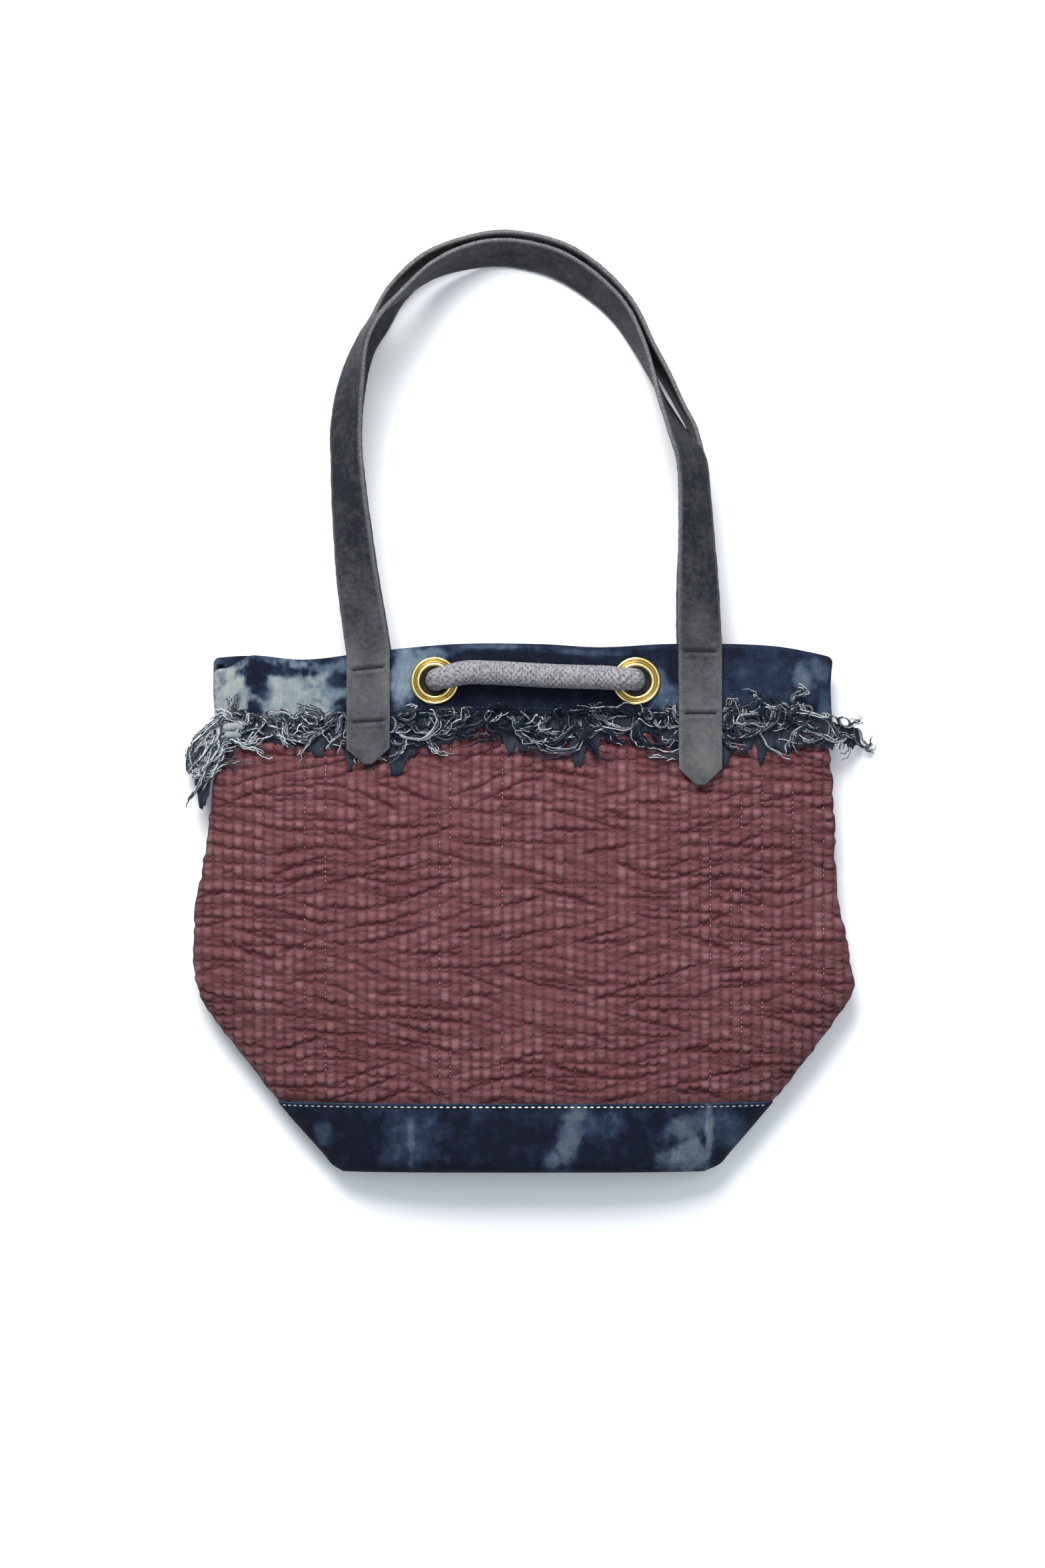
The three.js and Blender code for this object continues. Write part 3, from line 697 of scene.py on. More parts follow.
@dataclass
class QuiltWall:
    """One quilted wall: stitched rows 6.2 mm apart, puffed between them and creased across."""

    body: BodyForm
    side: Side
    wall: float = 3.0
    row_pitch: float = 6.2
    steps: int = 5
    pitch_up: float = 1.15
    low: float = 41.0
    covered: float = 275.0
    margin: float = 12.0
    puff: float = 1.45
    crease_depth: float = 1.4
    scallop: float = 0.8
    cut: float = 0.8
    stitch_pitch: float = 2.9
    stitch_length: float = 1.9
    stitch_width: float = 0.62
    inner_step: int = 5
    wadding: float = 0.2
    rising: CreaseLines = CreaseLines(-0.27, 9.6, 4.5, 1.2, 0.62, 0)
    falling: CreaseLines = CreaseLines(0.25, 9.1, 4.5, 1.2, 0.62, 30)
    level: CreaseLines = CreaseLines(0.02, 8.3, 3.0, 1.2, 0.30, 60)
    notches: CreaseLines = CreaseLines(0.06, 6.1, 4.0, 2.6, 0.7, 90)

    @property
    def seed(self) -> int:
        """Number of the wall's own pattern."""
        return 3 if self.side is Side.FRONT else 41

    def creases(self, lines: CreaseLines, x: Array, height: Array) -> tuple[Array, Array]:
        """Shares of crease from one family of lines, and the number of the nearest line.

        The lines are the whole steps of a flow: the height with a slope across, a slow drift and
        a scallop under each puff. Each puff shifts its own stretch of a line a little, a line
        fades in and out, and its share is a sharp bell with a broader one under it.

        Args:
            lines: The family.
            x: Places across.
            height: Heights above the base.

        Returns:
            Shares from 0 to 1, and the numbers of the nearest lines.
        """
        seed = self.seed + lines.seed
        column = np.floor(x / self.row_pitch)
        scallop = self.scallop * np.abs(np.sin(math.pi * x / self.row_pitch))
        flow = height + lines.slope * x + lines.drift * noise(x / 37, height / 29, seed) + scallop
        line = np.round(flow / lines.pitch)
        shift = lines.stagger * (lattice(column, line, seed + 1) - 0.5)
        near = np.abs(flow - line * lines.pitch - shift)
        strength = mix(lines.least, 1.0, smooth(0.5 + 1.3 * noise(x / 26, line * 3.1, seed + 2)))
        return strength * (0.6 * bell(near, self.cut) + 0.4 * bell(near, 3.0 * self.cut)), line

    def field(self, x: Array, height: Array) -> dict[str, Array]:
        """Relief of the quilting.

        Between the stitched rows the cloth stands up as the root of a half sine. Rising, falling
        and level creases take turns over the wall and meet in flat lozenges; finer notches part
        the puffs between them.

        Args:
            x: Places across.
            height: Heights above the base.

        Returns:
            Outward relief in millimetres, and the shares of crease (painted shade), of stitched row (red
            thread with painted shade) and of lift (painted highlight on the puffs).
        """
        seed = self.seed
        row = np.abs(np.sin(math.pi * x / self.row_pitch))
        puffed = row**0.6
        turn = smooth(0.5 + 1.2 * noise(x / 27, height / 15, seed + 9))
        rising = mix(0.25, 1.0, turn) * self.creases(self.rising, x, height)[0]
        falling = mix(1.0, 0.25, turn) * self.creases(self.falling, x, height)[0]
        level = self.creases(self.level, x, height)[0]
        notch, cell = self.creases(self.notches, x, height)
        long_cut = np.maximum(np.maximum(rising, falling), 0.9 * level)
        cut = np.maximum(long_cut, 0.80 * notch)
        lift = lattice(np.floor(x / self.row_pitch), cell, seed + 130)
        raised = self.puff * puffed * (0.75 + 0.35 * lift) * (1 - 0.55 * cut)
        relief = raised - self.crease_depth * cut - 0.3 + 0.45 * rough(x / 22, height / 15, seed + 160)
        # Stitched rows: red thread with painted shade in the sunk rows, plus painted shade over the whole
        # wall under the fringe, above 236 mm.
        sewn = 0.82 * np.clip(1 - row / 0.64, 0, 1) + 0.22 * smooth((height - 236) / 34)
        return {"relief": relief, "crease": np.clip(1.06 * long_cut**1.2 + 0.50 * notch, 0, 1),
                "row": np.clip(sewn, 0, 1), "lift": lift * puffed}

    def surface(self, x: Array, height: Array) -> tuple[Array, dict[str, Array]]:
        """Points of the quilted face with their relief, sunk where it is sewn under the denim.

        Args:
            x: Places across.
            height: Heights above the base.

        Returns:
            Points of the wall, and the quilting's values with its relief as sewn.
        """
        values = self.field(x, height)
        bare = smooth((height - self.low) / 7.0) * smooth((self.covered - height) / 5.0)
        relief = mix(-1.8, values["relief"], bare)
        if self.side is Side.BACK:
            relief = np.minimum(relief * 0.6, 0.0)
        return self.body.wall(self.side, x, height, np.zeros_like(relief)), {**values, "relief": relief}

    def columns(self, height: Array) -> Array:
        """Places across of the grid's columns at each height.

        Columns stand five to a stitched row, so every row has one in its valley. Those that
        would fall outside are drawn together inside the last 12 mm, closest at the seam.

        Args:
            height: Heights above the base.

        Returns:
            Places across, a row for each height.
        """
        count = int(round(self.body.width / self.row_pitch)) * self.steps
        step = self.row_pitch / self.steps
        raw = (np.arange(count + 1) - count / 2)[None, :] * step
        sec = self.body.section(height, np.zeros_like(height))
        limit = np.where(raw < 0, -sec["left"], sec["right"])
        inner = limit - self.margin
        past = np.clip((np.abs(raw) - inner) / (count * step / 2 - inner), 0, 1)
        drawn = inner + self.margin * (1 - (1 - past) ** 1.5)
        return np.sign(raw) * np.where(np.abs(raw) > inner, drawn, np.abs(raw))

    def side_bumps(self, height: Array, x: Array, seam_gap: Array) -> Array:
        """Shift outwards of the side where the puffs end at the seam, the same for both walls."""
        bump = 0.5 * self.puff * noise(height / 3.6, x * 0 + np.sign(x), 211) - 0.3
        return np.sign(x) * bump * smooth(1 - seam_gap / 6.0)

    def build(self, finish: Material, thread: Material) -> Piece:
        """Makes the wall and its stitches.

        The face is a grid across and up the wall, pushed out along its normals by the relief;
        the inside is the same grid, coarser and one wall further in, joined round the rim.

        Args:
            finish: The piece's material.
            thread: The stitches' material.

        Returns:
            The wall.
        """
        top = self.body.height - 7.0
        rows = int((top - self.low) / self.pitch_up)
        rows += (-rows) % self.inner_step + 1
        height = np.linspace(self.low, top, rows)[:, None]
        x = self.columns(height)
        cols = x.shape[1]
        sec = self.body.section(height, np.zeros_like(height))
        points, values = self.surface(x, height)
        normals = grid_normals(points) * -self.side.value
        seam_gap = np.minimum(np.abs(x - sec["left"]), np.abs(sec["right"] - x))
        calm = smooth(seam_gap / 5.0)
        outer = points + normals * (values["relief"] * calm)[..., None]
        outer[..., 0] += self.side_bumps(height, x, seam_gap)
        outer[..., 2] = np.maximum(outer[..., 2], 0.05)
        seam_z = sec["seam"] + 0.02 * self.side.value
        outer[..., 2] = self.side.beyond(outer[..., 2], seam_z)
        n = self.inner_step
        coarse = self.body.wall(self.side, x[::n, ::n] * 0.985, height[::n], -self.wall)
        coarse[..., 2] = self.side.beyond(coarse[..., 2], seam_z[::n])
        mesh = Mesh()
        shares = {key: values[key].ravel() for key in ("crease", "row", "lift")}
        # Share of painted shade along the side seams.
        dark = 0.65 * bell(seam_gap, 1.1).ravel()
        mesh.add(outer, self.side.turn(grid_faces(rows, cols)), **shares, seam=dark)
        c_rows, c_cols = coarse.shape[:2]
        inner = self.side.turn(grid_faces(c_rows, c_cols)[:, ::-1])
        # The inside gets a flat share of painted crease shade.
        first = mesh.add(coarse, inner, crease=0.3, row=0.0, lift=0.0, seam=0.0)
        mesh.faces.extend(self.rim(rows, cols, c_rows, c_cols, first))
        self.stitches(thread)
        label = self.side.label
        wall = mesh.build(f"quilt_{label}", finish, (f"quilted_{label}",), "quilted_cloth")
        return wall

    def rim(self, rows: int, cols: int, c_rows: int, c_cols: int, first: int) -> list[list[int]]:
        """Faces that join the fine outer border to the coarse inner one, one a coarse step.

        Args:
            rows: Rows of the outer grid.
            cols: Columns of the outer grid.
            c_rows: Rows of the inner grid.
            c_cols: Columns of the inner grid.
            first: Number of the inner grid's first point.

        Returns:
            Faces, as lists of point numbers.
        """
        n = self.inner_step
        outer = np.arange(rows * cols).reshape(rows, cols)
        inner = np.arange(c_rows * c_cols).reshape(c_rows, c_cols) + first
        runs = [(outer[0], inner[0]), (outer[:, -1], inner[:, -1]),
                (outer[-1, ::-1], inner[-1, ::-1]), (outer[::-1, 0], inner[::-1, 0])]
        faces = []
        for fine, coarse in runs:
            for k in range(len(coarse) - 1):
                face = [*fine[k * n:(k + 1) * n + 1].tolist()[::-1], int(coarse[k]), int(coarse[k + 1])]
                faces.append(face if self.side is Side.FRONT else face[::-1])
        return faces

    def stitches(self, thread: Material) -> None:
        """Makes the red stitches: each a small spindle of eight faces laid along its row.

        Args:
            thread: The stitches' material.
        """
        top = self.body.height - 46.0
        n_rows = int((top - self.low - 5) / self.stitch_pitch)
        half = self.body.width / 2
        row_x = np.arange(-int(half / self.row_pitch), int(half / self.row_pitch) + 1) * self.row_pitch
        height = self.low + 6 + np.arange(n_rows)[None, :] * self.stitch_pitch
        x = np.broadcast_to(row_x[:, None], (len(row_x), n_rows))
        height = height + 0.5 * noise(x / 3.1, height / 2.1, 7)
        keep = lattice(np.round(x * 3), np.round(height * 5), 5) > 0.10
        sec = self.body.section(height, np.zeros_like(height))
        keep &= (x > sec["left"] + 3) & (x < sec["right"] - 3)
        x, height = x[keep], height[keep]
        length = self.stitch_length * (0.8 + 0.5 * lattice(x * 7, height * 3, 9))
        ends = []
        for shift in (-0.5, 0.0, 0.5):
            at = height + shift * length
            points, values = self.surface(x, at)
            lean = self.body.wall(self.side, x, at, np.ones_like(x)) - points
            ends.append(points + unit(lean) * (values["relief"] + 0.10)[:, None])
            out = unit(lean)
        if self.side is Side.BACK:
            for point in ends:
                point[:, 2] = np.maximum(point[:, 2], 0.3)
        along = unit(ends[2] - ends[0])
        across = unit(np.cross(along, out))
        wide, tall = self.stitch_width / 2, 0.34
        middle = ends[1]
        ring = [middle + across * wide, middle + out * tall, middle - across * wide, middle - out * tall]
        points = np.stack([ends[0], *ring, ends[2]], axis=1)
        faces = np.array([[0, 2, 1], [0, 3, 2], [0, 4, 3], [0, 1, 4],
                          [5, 1, 2], [5, 2, 3], [5, 3, 4], [5, 4, 1]])
        faces = (np.arange(len(x))[:, None, None] * 6 + faces).reshape(-1, 3)
        column = np.round(x / self.row_pitch)
        bright = lattice(column, np.round(height), 77)
        special = (lattice(column, column * 0, 78) > 0.80) & (noise(column * 3.7, height / 30, 79) > -0.3)
        tone = np.where(special & (bright > 0.4), 0.35 + 0.5 * bright, 0.22 * bright)
        mesh = Mesh()
        mesh.add(points, faces, tone=np.repeat(tone, 6))
        mesh.build(f"quilt_stitches_{self.side.label}", thread, (), "quilted_cloth")


@dataclass(frozen=True)
class Patch:
    """A bleached patch of the denim: its middle and half sizes in millimetres, and its look."""

    x: float
    height: float
    wide: float
    tall: float
    lean: float
    strength: float
    warm: float = 0.3


def bleach(patches: tuple[Patch, ...], x: Array, height: Array, seed: int) -> tuple[Array, Array]:
    """Shares of bleaching and of warmth from soft leaning patches with ragged borders.

    Args:
        patches: The patches.
        x: Places across.
        height: Heights above the base.
        seed: Number of the ragged borders' pattern.

    Returns:
        Shares of bleaching, and how warm the strongest patch is at each place.
    """
    ragged = 0.50 * rough(x / 9, height / 9, seed) + 0.30 * rough(x / 2.6, height / 3.4, seed + 5)
    total, warm = np.zeros(np.broadcast(x, height).shape), np.zeros(np.broadcast(x, height).shape)
    for patch in patches:
        across = (x - patch.x - patch.lean * (height - patch.height)) / patch.wide
        up = (height - patch.height) / patch.tall
        inside = patch.strength * smooth(1.45 - np.sqrt(across**2 + up**2 + 1e-9) + ragged)
        warm = np.where(inside > total, patch.warm, warm)
        total = np.maximum(total, inside)
    return total, warm


@dataclass
class DenimBase:
    """The boxed denim bottom with its topstitched upper edge."""

    body: BodyForm
    height: float = 42.0
    wall: float = 2.2
    pitch: float = 1.25
    stitch_pitch: float = 3.9
    stitch_down: float = 2.2
    proud: float = 0.35
    patches: tuple[Patch, ...] = (
        Patch(-119, 23, 5, 8, 0.0, 0.26), Patch(-66, 21, 19, 18, 0.1, 0.21),
        Patch(-67, 18, 2.4, 20, 0.0, 0.34, 0.6), Patch(28, 22, 7.5, 22, 0.28, 0.38, 1.0),
        Patch(17, 7, 6, 8, 0.1, 0.38, 0.9), Patch(42, 30, 16, 9, 0.5, 0.24),
        Patch(100, 10, 16, 12, 0.3, 0.45, 1.0), Patch(98, 28, 12, 11, 0.9, 0.37, 0.8),
        Patch(111, 22, 3.0, 22, 0.0, 0.54, 0.9), Patch(124, 24, 13, 15, -0.6, 0.26),
        Patch(0, 36, 120, 4, 0.0, 0.08),
    )

    def profile(self) -> tuple[Array, Array]:
        """Heights and offsets of the cup's rings, from the inner floor up, over the rim and down.

        Returns:
            Heights and offsets, one a row.
        """
        turn = self.body.base_edge * np.array([0.0, 0.03, 0.08, 0.16, 0.28, 0.42, 0.6, 0.8, 1.0])
        up = np.arange(self.body.base_edge + self.pitch, self.height - 0.8, self.pitch)
        outer = np.concatenate([turn, up, [self.height - 0.4, self.height]])
        inner = outer[2::3]
        heights = np.concatenate([np.maximum(inner, self.wall), outer[::-1]])
        offsets = np.concatenate([np.full(len(inner), -self.wall), np.full(len(outer), self.proud)])
        offsets[len(inner)] = -0.5
        return heights[:, None], offsets[:, None]

    def half(self, side: Side, t: Array) -> Array:
        """Points of the cup's rings on one wall.

        The cloth is crumpled and sunk at the stitched row; the front has one sharp upright fold.

        Args:
            side: Which wall.
            t: Places across, from -1 at the left seam to 1 at the right one.

        Returns:
            Points, a row for each ring.
        """
        heights, offsets = self.profile()
        ring = self.body.spread(side, t, heights, offsets)
        x = ring[..., 0]
        crumple = 0.45 * rough(x / 15, (ring[..., 1] + 37 * side.value) / 13, 211)
        fold = 0.9 * bell(x - 110, 1.6) - 0.5 * bell(x - 113.5, 2.2)
        groove = -0.45 * bell(heights - self.height + self.stitch_down, 0.9)
        face = np.where(offsets > 0, crumple + groove + (fold if side is Side.FRONT else 0), 0.0)
        if side is Side.BACK:
            face = np.minimum(face, 0.0) - 0.35
        ring[..., 2] += side.value * face * smooth(heights / self.body.base_edge)
        return ring

    def build(self, finish: Material, thread: Material) -> None:
        """Makes the cup, whose rings run round the body, and its topstitches.

        Args:
            finish: The denim.
            thread: The white thread.
        """
        half = int(self.body.width / self.pitch)
        cols = 2 * half
        runs = [(side, np.linspace(-side.value, side.value, half, endpoint=False)) for side in Side]
        points = np.concatenate([self.half(side, t[None, :]) for side, t in runs], axis=1)
        points[..., 2] = np.maximum(points[..., 2], 0.05)
        tall = np.broadcast_to(self.profile()[0], points.shape[:2])
        x = points[..., 0]
        amount, warm = bleach(self.patches, x, tall, 31)
        amount = np.where(np.arange(cols) < half, amount, 0.5 * smooth(0.3 + rough(x / 30, tall / 25, 77)))
        amount = np.maximum(amount, 0.30 * bell(tall - self.height, 0.7))
        mesh = Mesh()
        mesh.add(points, grid_faces(len(points), cols, around=True), bleach=amount.ravel(), warm=warm.ravel())
        for first, flip in ((0, True), ((len(points) - 1) * cols, False)):
            for k in range(half):
                # The first face of a ring has three corners, because both walls meet at its first point.
                corners = (k, k + 1, cols - k - 1, cols - k)[:4 if k else 3]
                face = [first + corner for corner in corners]
                mesh.faces.append(face[::-1] if flip else face)
        mesh.build("base_cup", finish, ("denim_base",), "denim")
        self.topstitch(thread)

    def topstitch(self, thread: Material) -> None:
        """Makes the white topstitches, evenly spaced along the line under the upper edge.

        Args:
            thread: The stitches' material.
        """
        mesh = Mesh()
        height = self.height - self.stitch_down
        for side in Side:
            t = np.linspace(-0.93, 0.93, 4000)
            line = self.body.spread(side, t, np.full_like(t, height), np.full_like(t, self.proud))
            run = run_along(line)
            starts = np.arange(2.0, run[-1] - 4, self.stitch_pitch)
            fade = np.clip(1.25 - np.abs((starts / run[-1] - 0.5) * 3.1), 0.28, 1.0)
            add_thread_dashes(mesh, line, run, starts, 2.15, 0.46, side, fade)
        mesh.build("base_topstitch", thread, (), "denim")


def add_thread_dashes(mesh: Mesh, line: Array, run: Array, starts: Array, length: float,
                      radius: float, side: Side, tone: Array, lift: float = 0.05) -> None:
    """Adds short sewn dashes that follow a line.

    Each dash is a six-sided tube of five rings; its ends dip into the cloth along a half sine.

    Args:
        mesh: Mesh to add to.
        line: Points of the seam line.
        run: Length along the line at each point.
        starts: Where each dash begins, as a length along the line.
        length: Length of a dash.
        radius: Radius of the thread.
        side: Wall that the line lies on, which says which way is out.
        tone: Tone of each dash.
        lift: Height of the dash's ends over the cloth.
    """
    share = np.linspace(0, 1, 5)
    at = starts[:, None] + share[None, :] * length
    middle = np.stack([np.interp(at, run, line[:, k]) for k in range(3)], axis=-1)
    middle[..., 2] += side.value * (lift + radius * 0.9 * np.sin(math.pi * share)[None, :] - 0.25)
    if side is Side.BACK:
        middle[..., 2] = np.maximum(middle[..., 2], radius + 0.05)
    tube = tubes(middle, radius * (0.55 + 0.45 * np.sin(math.pi * share))[None, :], 6)
    mesh.add(tube[0], tube[1], tone=np.repeat(tone, 5 * 6))


def tubes(middle: Array, radius: Array, sides: int) -> tuple[Array, list[list[int]]]:
    """Closed round tubes along many lines at once.

    Each ring is a circle across the line's direction, its first radius turned from the vertical.

    Args:
        middle: Points of the lines, (lines, stations, 3).
        radius: Radius at each station, (lines or 1, stations).
        sides: Sides of the tube.

    Returns:
        Points (lines, stations, sides, 3), and faces with both ends closed.
    """
    count, steps = middle.shape[:2]
    along = unit(np.gradient(middle, axis=1))
    across = np.cross(along, np.array([0.013, 0.021, 1.0]))
    across = unit(across)
    over = np.cross(across, along)
    angle = math.tau * np.arange(sides) / sides
    wheel = across[:, :, None, :] * np.cos(angle)[:, None] + over[:, :, None, :] * np.sin(angle)[:, None]
    points = middle[:, :, None, :] + wheel * np.broadcast_to(radius, (count, steps))[:, :, None, None]
    skin = grid_faces(steps, sides, around=True)[:, ::-1]
    block = steps * sides
    shift = (np.arange(count) * block)[:, None, None]
    faces = (skin[None] + shift).reshape(-1, 4).tolist()
    start = (np.arange(sides)[None, :] + shift[:, 0]).tolist()
    end = (np.arange(sides)[::-1][None, :] + block - sides + shift[:, 0]).tolist()
    return points, faces + start + end


@dataclass
class DenimBand:
    """One denim band: outer wall, rolled fold over the mouth edge and plain facing inside."""

    body: BodyForm
    side: Side
    depth: float = 43.0
    wall: float = 2.2
    facing: float = 1.5
    quilt: float = 3.0
    gap: float = 0.3
    columns: int = 300
    patches: tuple[Patch, ...] = (
        Patch(-178, 290, 15, 32, 0.0, 1.0, 0.9), Patch(-141, 293, 26, 19, 0.0, 0.92, 0.75),
        Patch(-134, 280, 34, 12, 0.0, 0.92, 0.8), Patch(-116, 297, 15, 18, 0.0, 0.62, 0.4),
        Patch(-70, 301, 10, 17, 0.3, 0.80, 0.3), Patch(-58, 311, 18, 4, 0.0, 0.52),
        Patch(85, 283, 9, 8, 0.0, 0.36), Patch(82, 293, 4, 10, 0.0, 0.40),
        Patch(167, 297, 9, 13, -0.3, 0.42, 0.6), Patch(178, 306, 7, 7, 0.0, 0.34, 0.5),
        Patch(150, 292, 36, 24, 0.0, 0.16), Patch(130, 283, 16, 10, 0.0, 0.20),
        Patch(181, 284, 5, 18, 0.0, 0.30), Patch(-20, 314, 30, 2, 0.0, 0.30),
        Patch(40, 312, 26, 2, 0.0, 0.26),
    )
    dark_patches: tuple[Patch, ...] = (
        Patch(-158, 299, 6, 13, -0.25, 0.85), Patch(-160, 283, 5, 8, 0.0, 0.6),
        Patch(-149, 308, 26, 4, 0.0, 0.8), Patch(-111, 301, 6, 6, 0.0, 0.5),
        Patch(-109, 284, 5, 6, 0.0, 0.5),
    )

    def profile(self) -> tuple[Array, Array, Array]:
        """Heights, offsets and outer shares of the closed section, from the lower edge round.

        Returns:
            Three rows of numbers of the same length.
        """
        low, top = self.body.height - self.depth, self.body.height
        out, inside = self.gap + self.wall, -(self.quilt + self.gap + self.facing)
        up = np.linspace(low, top - 3.4, 32)
        bow = np.linspace(0.0, math.pi, 13)[1:-1]
        middle, half = (out + inside) / 2, (out - inside) / 2
        fold_up, fold_out = top - 3.4 + 3.4 * np.sin(bow), middle + half * np.cos(bow)
        down = np.linspace(top - 3.4, low, 16)
        heights = [up, fold_up, down, [low], [top - 4.6], [top - 4.6], [low]]
        offsets = [np.full(32, out), fold_out, np.full(16, inside), [-self.quilt - self.gap],
                   [-self.quilt - self.gap], [self.gap], [self.gap]]
        outer = [np.ones(32), np.clip(np.cos(bow), 0, 1), np.zeros(16 + 4)]
        return np.concatenate(heights), np.concatenate(offsets), np.concatenate(outer)

    def relief(self, x: Array, height: Array) -> Array:
        """Crumple of the band: broad and fine ripples, and a groove at the hem stitch.

        Args:
            x: Places across.
            height: Heights above the base.

        Returns:
            Relief outwards, in millimetres.
        """
        seed = 61 if self.side is Side.FRONT else 67
        ripple = 0.55 * rough(x / 24, height / 20, seed) + 0.25 * rough(x / 7, height / 9, seed + 3)
        low = self.body.height - self.depth
        return ripple - 0.4 * bell(height - low - 2.2, 0.8)

    def fade(self, x: Array, tall: Array, outer: Array) -> tuple[Array, Array]:
        """Shares of bleaching and of warmth of the band, worn pale along the mouth.

        Args:
            x: Places across.
            tall: Heights above the base.
            outer: Shares of the outer face.

        Returns:
            Shares of bleaching and of warmth.
        """
        if self.side is Side.FRONT:
            amount, warm = bleach(self.patches, x, tall, 47)
        else:
            amount = 0.8 * smooth(0.25 + 1.2 * rough(x / 34, tall / 26, 91))
            warm = np.clip(0.5 + rough(x / 40, tall / 40, 95), 0, 1)
        worn = 0.22 * outer * bell(tall - self.body.height + 1.5, 1.6) * (0.5 + rough(x / 6, tall, 13))
        amount = np.maximum(amount, worn)
        if self.side is Side.FRONT:
            amount = amount - 0.9 * bleach(self.dark_patches, x, tall, 53)[0]
        return np.clip(amount, 0, 1), warm

    def build(self, finish: Material, thread: Material) -> Piece:
        """Makes the band by carrying its section from seam to seam, and its hem stitches.

        Args:
            finish: The denim.
            thread: The navy thread.

        Returns:
            The band.
        """
        heights, offsets, outer = self.profile()
        t = np.linspace(-1, 1, self.columns)[:, None]
        points = self.body.spread(self.side, t, heights[None, :], offsets[None, :])
        x, tall = points[..., 0], heights[None, :] + 0 * t
        face = self.relief(x, tall) * outer[None, :] * smooth((1 - np.abs(t)) / 0.05)
        points[..., 2] += self.side.value * (face if self.side is Side.FRONT else np.minimum(face, 0.0))
        seam = self.body.section(tall, 0 * t)["seam"] + 0.15 * self.side.value
        points[..., 2] = self.side.beyond(points[..., 2], seam)
        amount, warm = self.fade(x, tall, outer[None, :])
        count = len(heights)
        mesh = Mesh()
        faces = self.side.turn(grid_faces(self.columns, count, around=True)[:, ::-1])
        mesh.add(points, faces, bleach=amount.ravel(), warm=warm.ravel())
        if self.side is Side.FRONT:
            self.add_hem_ends(mesh)
        for first, flip in ((0, False), ((self.columns - 1) * count, True)):
            ring = list(range(first, first + count))
            mesh.faces.append(ring[::-1] if flip ^ (self.side is Side.BACK) else ring)
        label = self.side.label
        piece = mesh.build(f"band_{label}", finish, (f"denim_band_{label}",), "denim")
        self.hem_stitch(thread)
        return piece

    def add_hem_ends(self, mesh: Mesh) -> None:
        """Adds the two pale rolled ends of the hem under the left end of the band.

        Args:
            mesh: Mesh to add to.
        """
        share = np.linspace(0.0, 1.0, 13)
        lines = []
        for height, first, last in ((269.0, -180.0, -166.5), (263.6, -179.0, -168.5)):
            x = mix(first, last, share)
            lines.append(self.body.wall(self.side, x, height + 0.8 * np.sin(3 * share), 3.6))
        round_off = np.sqrt(np.clip(1 - np.abs(2 * share - 1) ** 6, 0.04, 1))
        points, faces = tubes(np.array(lines), np.array([2.7, 2.4])[:, None] * round_off[None, :], 12)
        mesh.add(points, faces, bleach=0.95, warm=0.9)

    def hem_stitch(self, thread: Material) -> None:
        """Makes the two close rows of navy stitches above the band's lower edge.

        Args:
            thread: The stitches' material.
        """
        mesh = Mesh()
        low = self.body.height - self.depth
        for up in (2.2, 4.6):
            t = np.linspace(-0.9, 0.9, 4000)
            height = np.full_like(t, low + up)
            line = self.body.spread(self.side, t, height, np.full_like(t, self.gap + self.wall))
            line[:, 2] += self.side.value * self.relief(line[:, 0], height)
            run = run_along(line)
            starts = np.arange(2.0, run[-1] - 4, 3.1)
            tone = 0.35 + 0.3 * lattice(starts, starts, 3)
            add_thread_dashes(mesh, line, run, starts, 2.1, 0.3, self.side, tone)
        mesh.build(f"band_hem_stitch_{self.side.label}", thread, (), "denim")


